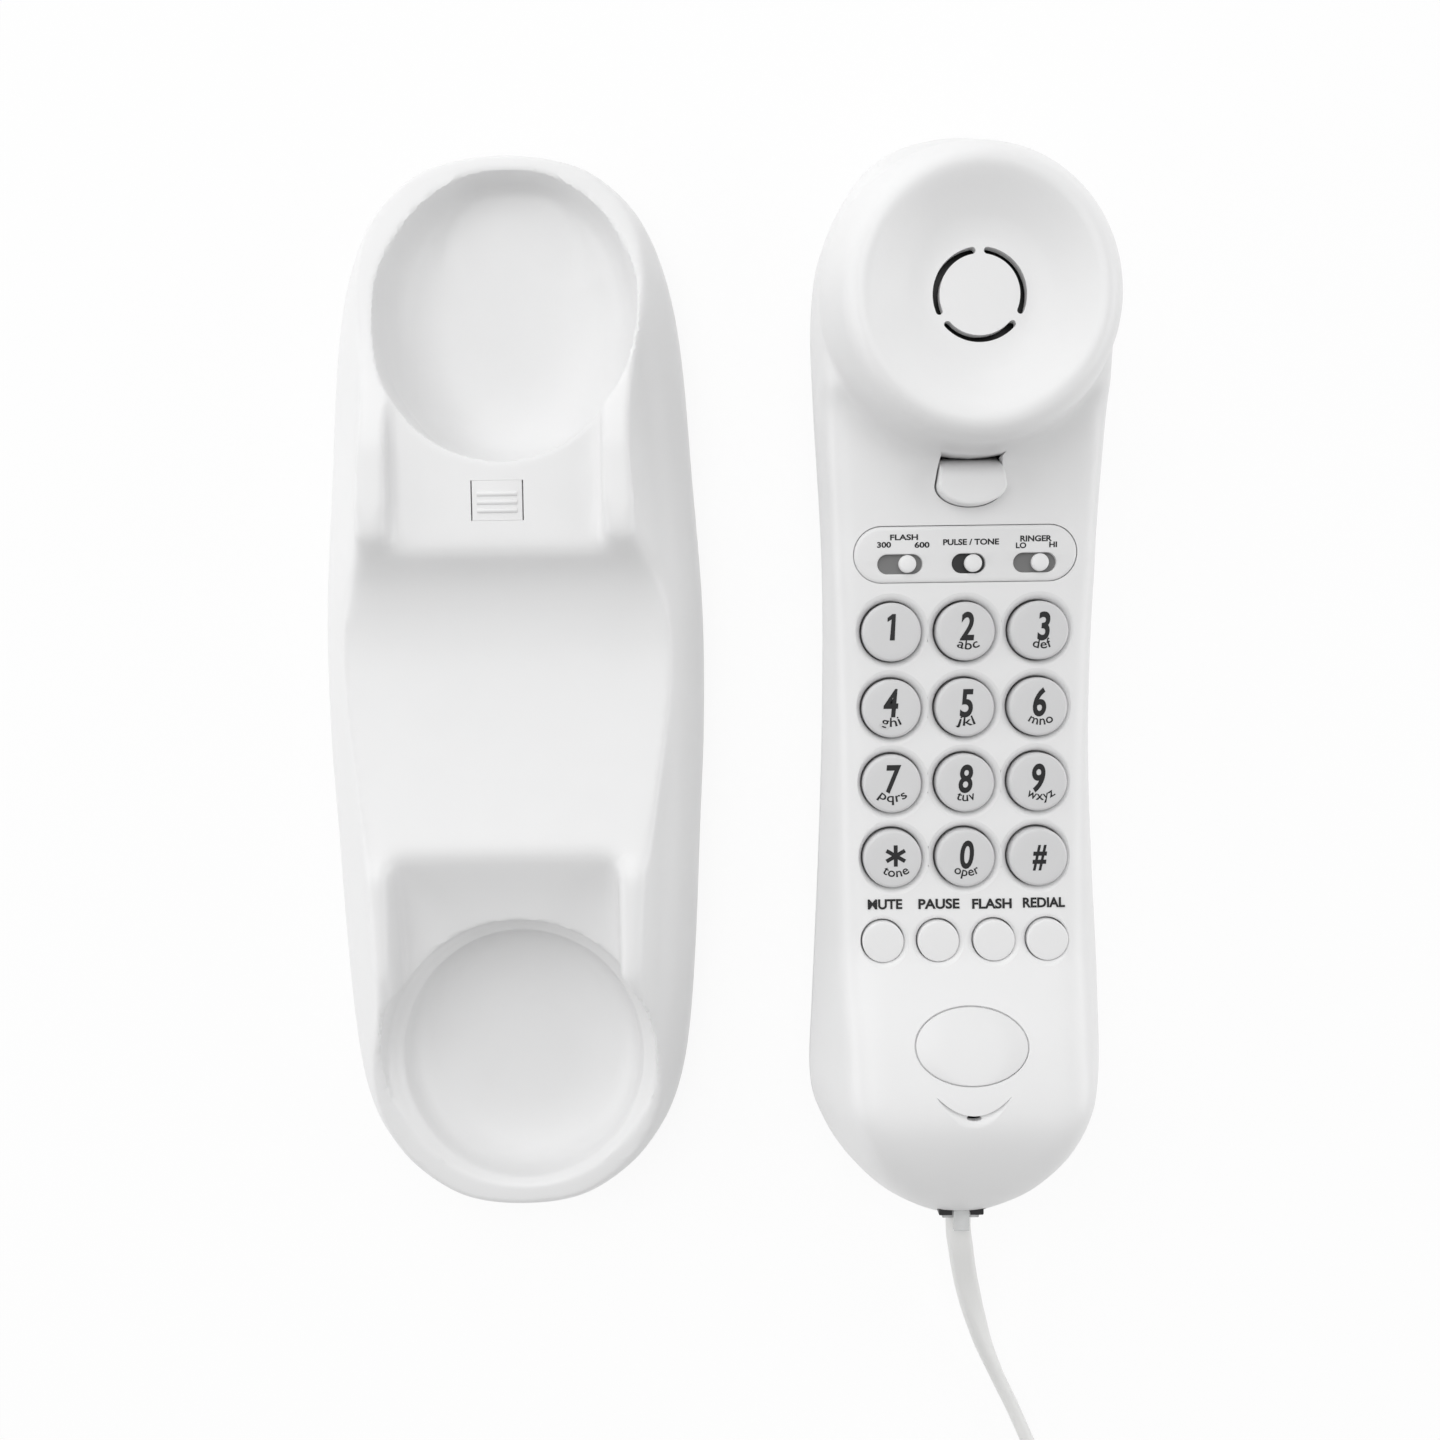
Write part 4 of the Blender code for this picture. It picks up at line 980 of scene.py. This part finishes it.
def front_ring(outline, level, wall=0.0):
    part, steep_in, gentle_in = level
    out = []
    pairs = zip(inset(outline, steep_in + wall), inset(outline, gentle_in + wall))
    for (x0, y0), (x1, y1) in pairs:
        share = slope_share(y0)
        x, y = x0 + share * (x1 - x0), y0 + share * (y1 - y0)
        low = seam_z(y) + SEAM_GAP / 2
        out.append((x, y, low + part * (face_z(y) - wall - low)))
    return out


def closing_rows(ring, heights, steps=6):
    """Rows that draw a mirrored ring in to its long axis, at heights(y)."""
    rows = []
    for k in range(1, steps + 1):
        share = 1 - k / steps
        rows.append([(x * share, y, heights(y)) for x, y, _ in ring])
    return rows


def plunger_outline(grow, top, steps=24):
    """Flat far edge at top, drawn-in sides and a round near end."""
    cx, half = PLUNGER_CENTRE_X, PLUNGER_X + grow
    drop = 4.0 + grow
    side = [(half - 0.9 + 0.9 * k / 10, top + (PLUNGER_MID_Y - top) * k / 10)
            for k in range(1, 10)]
    ring = [(cx + (half - 0.9) * (k / 6 - 1), top) for k in range(13)]
    ring += [(cx + x, y) for x, y in side]
    for i in range(steps + 1):
        a = math.pi * i / steps
        ring.append((cx + half * math.cos(a), PLUNGER_MID_Y - drop * math.sin(a)))
    return ring + [(cx - x, y) for x, y in reversed(side)]


def plunger_hole():
    """The plunger's outline with room round it; its far corners run out to points."""
    cx = PLUNGER_CENTRE_X
    ring = [(x - max(0.0, cx - x) * 0.035, y) for x, y in plunger_outline(0.16, PLUNGER_SLOT_Y)]
    far = [(cx + PLUNGER_X * s, PLUNGER_SLOT_Y - 0.75 * math.cos(s * math.pi / 2))
           for s in (-0.97, -0.8, -0.5, 0, 0.5, 0.8, 0.97)]
    return far + ring[13:]


def arc_slot(start, end, steps=24):
    """Outline of a slot on the ring's circle, between two angles, with round ends."""
    cx, cy = RING_CENTRE
    half = RING_SLOT / 2
    angles = [math.radians(start + (end - start) * i / steps) for i in range(steps + 1)]
    outer, inner = RING_R + half, RING_R - half
    ring = [(cx + outer * math.cos(a), cy + outer * math.sin(a)) for a in angles]
    for at, side in ((angles[-1], 1), (angles[0], -1)):
        mx, my = cx + RING_R * math.cos(at), cy + RING_R * math.sin(at)
        turns = [at + (math.pi if side < 0 else 0) + math.pi * k / 8 for k in range(1, 8)]
        ring += [(mx + half * math.cos(a), my + half * math.sin(a)) for a in turns]
        if side > 0:
            ring += [(cx + inner * math.cos(a), cy + inner * math.sin(a)) for a in angles[::-1]]
    return ring


def well(x, y, radius, width, depth):
    """Hole for a key, its edge rolled down from the face that it follows."""
    levels = [(radius, -12)]
    levels += [(radius + width * out, -depth * down) for out, down in quarter(8)]
    levels.append((radius + width + 0.6, 0.5))
    return [[(px, py, face_z(py) + rise) for px, py in oval(x, y, r, r)] for r, rise in levels]


def crescent(steps=28):
    """Rows of the smile-shaped groove over the microphone, deep along its upper edge."""
    rows = []
    for k in range(steps + 1):
        t = 0.985 * (2 * k / steps - 1)
        x, arch = CRESCENT_HALF_X * t, 1 - t * t
        y0 = CRESCENT_END_Y + (CRESCENT_INNER_Y - CRESCENT_END_Y) * arch
        y1 = CRESCENT_END_Y + (CRESCENT_OUTER_Y - CRESCENT_END_Y) * arch
        floor = [(x, y0 + (y1 - y0) * share, face_z(y0 + (y1 - y0) * share) - depth * arch ** 0.35)
                 for share, depth in CRESCENT_FLOOR]
        rows.append([(x, y0, 45)] + floor + [(x, y1, 45)])
    return rows


def switch_slot(name, grow):
    """Outline of a slide switch's slot, grown all round."""
    left, right, _ = SWITCHES[name]
    return pill((left + right) / 2, SWITCH_Y, (right - left) / 2 + grow, SLOT_HALF + grow)


def pad(ring, drop):
    """Rows of a plate's outline that follow the face at a drop below it."""
    return [(x, y, face_z(y) - drop) for x, y in ring]


class PHONE_OT_handset(bpy.types.Operator):
    """Front and back mouldings of the handset"""

    bl_idname = "phone.handset"
    bl_label = "Handset"

    def execute(self, context):
        shape = context.scene.phone_shape
        self.front(shape)
        self.back()
        return {"FINISHED"}

    def front(self, shape):
        outline = mirrored(HAND_OUTLINE, 8)
        rows = [front_ring(outline, (-0.25, 0, 0))]
        rows += [front_ring(outline, level) for level in spline(FRONT_LEVELS, 5)]
        rows += closing_rows(rows[-1], face_z)
        bottom = closing_rows(rows[0], lambda y: seam_z(y) - 4)
        bm = solid(list(reversed(bottom)) + rows)
        cap = [flat(oval(0, cy, rx, ry, 128), z) for z, cy, rx, ry in spline(CAP_LEVELS, 5)]
        join(bm, solid(cap))
        obj = work_object(bm)
        moulded(obj, shape.voxel, 5)
        soften_near(obj, self.throat, THROAT_SOFTENING)
        soften_near(obj, self.crest, CREST_SOFTENING)
        self.hollow(obj, outline)
        self.openings(obj, shape.well_radius)
        words = [word(*entry, lambda x, y: face_z(y) + 0.08) for entry in FACE_WORDS]
        add_ink(obj, words)
        finish_piece(obj, "handset_front_moulding", ["white", "ink"], "handset",
                     ["handset_front"], HAND)

    def throat(self, x, y, z):
        """Where the ear cap runs into the neck."""
        if y > 62 or z < 26:
            return 0.0
        edge = math.hypot(x / 27.8, (y - 71.4) / 30.3)
        off = abs(edge - 1.0) * 29
        return clamp(1.6 - off / 6) * min(1.0, (62 - y) / 12)

    def crest(self, x, y, z):
        """The grip and the mouth end, where the face runs softly into the sides."""
        return max(0.0, min(1.0, (24 - y) / 20, (z - seam_z(y) - 3) / 4))

    def hollow(self, obj, outline):
        lower = [(115, -6)] + [(y, seam_z(y) + SEAM_GAP / 2) for y in range(115, -121, -5)]
        carve(obj, solid(sideways(lower + [(-BEYOND_ENDS, -6)], -BEYOND_SIDES, BEYOND_SIDES)))
        rows = [front_ring(outline, (-0.6, 0, 0), WALL)]
        rows += [front_ring(outline, level, WALL) for level in spline(FRONT_LEVELS, 3)]
        rows += closing_rows(rows[-1], lambda y: face_z(y) - WALL, 4)
        carve(obj, solid(rows))
        drill(obj, oval(0, 69.5, CAP_BORE_R, CAP_BORE_R), *CAP_BORE_Z)
        for y in HAND_SCREW_Y.values():
            top = face_z(y) - WALL + 0.3
            boss = [(0, 5.5), (1.6, 5.5), (1.6, 5.6), (3, 5.6), (3, top), (0, top)]
            carve(obj, spun(boss, (0, y), 32), "UNION")

    def openings(self, obj, rounding):
        carve(obj, solid(*[well(x, y, KEY_R + KEY_GAP, rounding, KEY_WELL_DEPTH)
                           for y in KEY_Y for x in KEY_X]))
        carve(obj, solid(*[well(x, FUNCTION_Y, FUNCTION_R + FUNCTION_GAP, FUNCTION_WELL,
                                FUNCTION_WELL) for x in FUNCTION_KEYS.values()]))
        slots = [upright(arc_slot(*arc), 43, 50) for arc in RING_ARCS]
        carve(obj, solid(*slots))
        bed = pill(0, PANEL_Y, PANEL_HALF[0] + 0.12, PANEL_HALF[1] + 0.12)
        carve(obj, solid([pad(bed, PANEL_SEAT), flat(bed, 40)]))
        carve(obj, solid(*[upright(switch_slot(name, SWITCH_ROOM), 22, 40) for name in SWITCHES]))
        drill(obj, plunger_hole(), 18, 44)
        carve(obj, solid(inlay_rows(0.32, -0.6, 6)))
        carve(obj, jack_front())
        half_z = JACK_HALF[1] + JACK_ROOM
        drill(obj, oblong(JACK_HALF[0] + JACK_ROOM, -BEYOND_ENDS, JACK_Y[1] + JACK_ROOM),
              JACK_Z - half_z, JACK_Z + half_z)
        carve(obj, solid(crescent()))
        drill(obj, oval(0, MIC_Y, 1.45, 0.5, 32), 20, 45)

    def back(self):
        outline = mirrored(HAND_OUTLINE, 8)
        outer = [self.back_ring(outline, level, 0, 0) for level in spline(BACK_LEVELS, 5)]
        inner = [self.back_ring(outline, level, WALL, BACK_FLOOR_Z)
                 for level in spline(BACK_LEVELS, 3)]
        outer += closing_rows(outer[-1], lambda y: 0.0, 3)
        inner += closing_rows(inner[-1], lambda y: BACK_FLOOR_Z, 3)
        obj = work_object(solid(list(reversed(inner)) + outer))
        for radius, top, sides in ((1.6, 5, 32), (3.2, 1.8, 48)):
            holes = [upright(oval(0, y, radius, radius, sides), -1, top)
                     for y in HAND_SCREW_Y.values()]
            carve(obj, solid(*holes))
        finish_piece(obj, "handset_back_moulding", ["white"], "handset", ["handset_back"],
                     HAND)

    def back_ring(self, outline, level, wall, floor):
        part, step = level
        out = []
        for x, y in inset(outline, step + wall):
            high = seam_z(y) - SEAM_GAP / 2
            out.append((x, y, high + part * (floor - high)))
        return out


def jack_front():
    """Everything over and beside the jack's front end, which stands clear of the front shell."""
    return solid(upright(oblong(JACK_HALF[0] + JACK_ROOM, -125, JACK_SHOWN_Y),
                         JACK_Z - JACK_HALF[1] - JACK_ROOM, 60))


def inlay_rows(grow, low, high):
    cx, cy, rx, ry = INLAY
    ring = oval(cx, cy, rx + grow, ry + grow, 96)
    levels = ((0.0, low), (0.5, low), (1, low), (1, high), (0.5, high), (0.0, high))
    return [[(x * share, y, face_z(y) + z) for x, y in ring] for share, z in levels]


# ---------------------------------------------------------------- lettering


def letter_mesh(text, size, weight, thick=INK_HALF_THICK):
    """Solid letters of the built-in font at a size, lying on z = 0 from their baseline."""
    curve = bpy.data.curves.new("letters", "FONT")
    curve.body = text
    curve.size = size
    curve.offset = weight
    curve.extrude = thick
    curve.resolution_u = 5
    obj = bpy.data.objects.new("letters", curve)
    bpy.context.scene.collection.objects.link(obj)
    graph = bpy.context.evaluated_depsgraph_get()
    mesh = bpy.data.meshes.new_from_object(obj.evaluated_get(graph))
    bm = bmesh.new()
    bm.from_mesh(mesh)
    bpy.data.objects.remove(obj)
    bpy.data.curves.remove(curve)
    bpy.data.meshes.remove(mesh)
    bmesh.ops.remove_doubles(bm, verts=bm.verts, dist=1e-4)
    bmesh.ops.recalc_face_normals(bm, faces=bm.faces)
    return bm


def fitted(bm, width, middle):
    """Centres letters and stretches them to the width; their middle height goes to nought."""
    left = min(v.co.x for v in bm.verts)
    right = max(v.co.x for v in bm.verts)
    for vert in bm.verts:
        vert.co.x = (vert.co.x - (left + right) / 2) * (width / (right - left))
        vert.co.y -= middle
    return bm


def lay(bm, surface, at):
    """Moves letters to their place and down on the surface."""
    for vert in bm.verts:
        vert.co.x += at[0]
        vert.co.y += at[1]
        vert.co.z += surface(vert.co.x, vert.co.y)
    return bm


def word(text, width, height, at, surface):
    size = height / FONT_CAP
    bm = letter_mesh(text, size, 0.03 * size)
    return lay(fitted(bm, width, height / 2), surface, at)


def numeral(text):
    if text == "*":
        return star_mark()
    if text == "1":
        return barred_one()
    size = NUMERAL_HEIGHT / FONT_CAP * (0.9 if text == "#" else 1)
    bm = letter_mesh(text, size, 0.026 * size)
    wide = max(v.co.x for v in bm.verts) - min(v.co.x for v in bm.verts)
    fitted(bm, wide * (0.62 if text == "#" else 0.74), size * FONT_CAP / 2)
    for vert in bm.verts:
        vert.co.x += vert.co.y * math.tan(math.radians(NUMERAL_SLANT))
    return bm


def barred_one():
    """Upright bar with a short flag at its upper left."""
    half = NUMERAL_HEIGHT / 2
    ring = [(0.62, half), (-0.05, half), (-1.0, half - 0.75), (-1.0, half - 1.5),
            (-0.2, half - 1.05), (-0.6, -half), (0.35, -half)]
    return solid(upright(ring, -INK_HALF_THICK, INK_HALF_THICK))


def star_mark():
    """Six-armed star from three crossed bars, each a hair higher than the last."""
    bm = bmesh.new()
    bar = oblong(STAR_HALF, -STAR_BAR_HALF, STAR_BAR_HALF)
    for k in range(3):
        turn = Matrix.Rotation(math.pi / 6 + math.pi / 3 * k, 2)
        ring = [turn @ Vector(p) for p in bar]
        skin(bm, upright(ring, -INK_HALF_THICK, INK_HALF_THICK + 0.004 * k))
    bmesh.ops.recalc_face_normals(bm, faces=bm.faces)
    return bm


def arched(text, width):
    """Small letters bent up at both ends along an arc."""
    size = LETTERS_HEIGHT / FONT_LOW
    bm = fitted(letter_mesh(text, size, 0.01 * size, 0.04), width, LETTERS_HEIGHT / 2)
    for vert in bm.verts:
        turn = vert.co.x / LETTERS_ARC
        radius = LETTERS_ARC - vert.co.y
        vert.co.x = radius * math.sin(turn)
        vert.co.y = LETTERS_ARC - radius * math.cos(turn)
    return bm


def inked(bms):
    """One mesh of all the letters, in the second material."""
    first = join(bms[0], *bms[1:])
    for face in first.faces:
        face.material_index = 1
    return first


def add_ink(obj, bms):
    bm = bmesh.new()
    bm.from_mesh(obj.data)
    join(bm, inked(bms))
    bm.to_mesh(obj.data)
    bm.free()


# ---------------------------------------------------------------- keys and controls


class PHONE_OT_keys(bpy.types.Operator):
    """Twelve dialling keys and four function keys with their lettering"""

    bl_idname = "phone.keys"
    bl_label = "Keys"

    def execute(self, context):
        edge = context.scene.phone_shape.key_edge
        for i, (name, mark, at, letters, width, letters_x) in enumerate(KEYPAD):
            x, y = KEY_X[i % 3], KEY_Y[i // 3]
            top = face_z(y) + KEY_RISE
            ink = [lay(numeral(mark), lambda u, v: top, (x + at[0], y + at[1]))]
            if letters:
                place = (x + letters_x, y + LETTERS_Y)
                ink.append(lay(arched(letters, width), lambda u, v: top, place))
            self.key(name, x, y, KEY_R, KEY_RISE, edge, "key", ink)
        for name, x in FUNCTION_KEYS.items():
            self.key(name, x, FUNCTION_Y, FUNCTION_R, FUNCTION_RISE, 0.3, "white", [])
        return {"FINISHED"}

    def key(self, name, x, y, radius, rise, edge, look, ink):
        x, y = x + KEY_SHIFT[0], y + KEY_SHIFT[1]
        top = face_z(y) + rise
        low, high = KEY_FLANGE_Z
        profile = [(0, low), (radius + 0.8, low), (radius + 0.8, high), (radius, high)]
        profile += [(radius - edge * side, top - 0.06 - edge * down) for side, down in quarter(6)]
        profile += [(radius * 0.8, top - 0.015), (radius * 0.65, top), (0, top)]
        bm = spun(profile, (x, y), 72)
        if ink:
            join(bm, inked(ink))
        finish_piece(work_object(bm), name + "_cap", [look, "ink"], name, [name],
                     HAND)


class PHONE_OT_controls(bpy.types.Operator):
    """Switch panel, slide switches, hook plunger, inlay and line jack"""

    bl_idname = "phone.controls"
    bl_label = "Controls"

    def execute(self, context):
        self.panel()
        self.switches()
        self.plunger()
        self.inlay()
        self.jack()
        return {"FINISHED"}

    def panel(self):
        wide, deep = 0.9, 0.4
        rows = [pad(pill(0, PANEL_Y, *PANEL_HALF), PANEL_SEAT - 0.3)]
        for out, down in quarter(6):
            ring = pill(0, PANEL_Y, PANEL_HALF[0] - wide * out, PANEL_HALF[1] - wide * out)
            rows.append(pad(ring, deep * down - PANEL_RISE))
        rows += closing_rows(rows[-1], lambda y: face_z(y) + PANEL_RISE)
        obj = work_object(solid(rows))
        for name in SWITCHES:
            rows = [pad(switch_slot(name, 0), 6)]
            rows += [pad(switch_slot(name, 0.18 * out), 0.18 * down - PANEL_RISE)
                     for out, down in quarter(3)]
            carve(obj, solid(rows + [pad(switch_slot(name, 0.3), -1)]))
        add_ink(obj, [word(*entry, lambda x, y: face_z(y) + PANEL_RISE - 0.01)
                      for entry in PANEL_WORDS])
        finish_piece(obj, "switch_panel_gloss", ["panel", "ink"], "handset", ["switch_panel"],
                     HAND)

    def switches(self):
        seat = face_z(PANEL_Y) - PANEL_SEAT
        half_x, half_y, low, high = SWITCH_CASE
        for name, (left, right, at) in SWITCHES.items():
            ring = oblong(half_x, SWITCH_Y - half_y, SWITCH_Y + half_y, (left + right) / 2)
            case = solid(upright(ring, low, high))
            bevel_edges(case, case.edges, 0.25, 2)
            tray = solid(upright(switch_slot(name, 0.4), high, seat + 0.25))
            look = "dark" if name == "dial_mode" else "slider"
            finish_piece(work_object(join(case, tray)), f"{name}_switch_case", [look], "handset",
                         [f"{name}_switch"], HAND)
            profile = [(0, 0.35), (KNOB_STEM_R, 0.35), (KNOB_STEM_R, 1.3), (KNOB_R - 0.1, 1.35),
                       (KNOB_R, 1.45), (KNOB_R, 2.0), (KNOB_R - 0.1, 2.25), (KNOB_R - 0.35, 2.42),
                       (KNOB_R - 0.8, 2.48), (0, 2.5)]
            knob = spun([(r, seat + z) for r, z in profile], (at, SWITCH_Y), 48)
            finish_piece(work_object(knob), f"{name}_knob_round", ["white"], f"{name}_knob",
                         [f"{name}_knob"], HAND)

    def plunger(self):
        """A button whose top rolls down at the far end, to a lip that stays under the shell."""
        low, high = PLUNGER_Z
        edge = PLUNGER_EDGE
        outline = plunger_outline(0, PLUNGER_LIP_Y)
        rows = [flat(outline, low)]
        rows += [self.rolled(inset(outline, edge * side), high - edge * down, low)
                 for side, down in quarter(6)]
        cx, cy = PLUNGER_CENTRE_X, PLUNGER_MID_Y
        top = rows[-1]
        for k in range(1, 16):
            share = 1 - k / 16
            ring = [(cx + (x - cx) * share, cy + (y - cy) * share) for x, y, _ in top]
            rows.append(self.rolled(ring, high, low))
        finish_piece(work_object(solid(rows)), "hook_plunger_button", ["white"], "hook",
                     ["hook_plunger"], HAND)

    def rolled(self, ring, high, low):
        """The ring laid on the plunger's top, which falls away towards the lip."""
        length = PLUNGER_LIP_Y - PLUNGER_ROLL_Y
        drop = high - low - 0.3
        return [(x, y, high - drop * clamp((y - PLUNGER_ROLL_Y) / length) ** 2) for x, y in ring]

    def inlay(self):
        bm = solid(inlay_rows(0, -0.45, 0.1))
        bevel_edges(bm, sharp_edges(bm), 0.12, 2)
        finish_piece(work_object(bm), "mouth_inlay_oval", ["panel"], "handset", ["mouth_inlay"],
                     HAND)

    def jack(self):
        half_x, half_z = JACK_HALF
        y0, y1 = JACK_Y
        bm = solid(upright(oblong(half_x, y0, y1), JACK_Z - half_z, JACK_Z + half_z))
        bevel_edges(bm, bm.edges, 0.3, 2)
        obj = work_object(bm)
        room_x, room_z = (half + PLUG_GAP for half in HANDSET_PLUG_HALF)
        drill(obj, oblong(room_x, y0 - 5, y1 - 3), JACK_Z - room_z, JACK_Z + room_z)
        drill(obj, oblong(LATCH_HALF_X, y0 - 5, y1 - 4), JACK_Z, JACK_Z + room_z + 1.35)
        finish_piece(obj, "line_jack_frame", ["dark"], "handset", ["line_jack"],
                     HAND)


# ---------------------------------------------------------------- CAD nodes that stay


CAD_FINISHES = {
    "plate": ["base_plate"],
    "rubber": [f"base_foot_{side}" for side in CORNERS] + ["keypad_membrane", "microphone_boot"],
    "steel": [f"base_screw_{side}" for side in CORNERS]
             + ["base_weight", "handset_weight", "handset_screw_upper", "handset_screw_lower",
                "microphone_capsule"],
    "dark": ["hook_switch", "receiver_capsule"],
    "foam": ["receiver_gasket"],
    "brass": ["ringer_disc"],
    "board": ["circuit_board"],
}


class PHONE_OT_inner_parts(bpy.types.Operator):
    """Finishes for the CAD nodes that stay as they are"""

    bl_idname = "phone.inner_parts"
    bl_label = "Inner parts"

    def execute(self, context):
        for look, nodes in CAD_FINISHES.items():
            for name in nodes:
                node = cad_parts[name]
                for slot in node.material_slots:
                    slot.material = material(look)
        return {"FINISHED"}


class PHONE_PT_panel(bpy.types.Panel):
    """Sizes, finishes and pieces of the phone"""

    bl_idname = "PHONE_PT_panel"
    bl_label = "Slimline wall phone"
    bl_space_type = "VIEW_3D"
    bl_region_type = "UI"
    bl_category = "Phone"

    def draw(self, context):
        column = self.layout.column()
        for group in (context.scene.phone_finish, context.scene.phone_shape):
            for key in group.bl_rna.properties.keys():
                if key not in ("rna_type", "name"):
                    column.prop(group, key)
        for operator in OPERATORS:
            column.operator(operator.bl_idname)


OPERATORS = (PHONE_OT_stage, PHONE_OT_cord, PHONE_OT_cradle, PHONE_OT_handset, PHONE_OT_keys,
             PHONE_OT_controls, PHONE_OT_inner_parts)
CLASSES = (PhoneFinish, PhoneShape, *OPERATORS, PHONE_PT_panel)


def register():
    for cls in CLASSES:
        bpy.utils.register_class(cls)
    bpy.types.Scene.phone_finish = bpy.props.PointerProperty(type=PhoneFinish)
    bpy.types.Scene.phone_shape = bpy.props.PointerProperty(type=PhoneShape)


def unregister():
    del bpy.types.Scene.phone_finish
    del bpy.types.Scene.phone_shape
    for cls in reversed(CLASSES):
        bpy.utils.unregister_class(cls)


def clear_start_scene():
    for name in ("Cube", "Light", "Camera"):
        thing = bpy.data.objects.get(name)
        if thing:
            bpy.data.objects.remove(thing)


def main():
    register()
    clear_start_scene()
    bpy.ops.phone.stage()
    bpy.ops.phone.cord()
    bpy.ops.phone.cradle()
    bpy.ops.phone.handset()
    bpy.ops.phone.keys()
    bpy.ops.phone.controls()
    bpy.ops.phone.inner_parts()


if __name__ == "__main__":
    main()
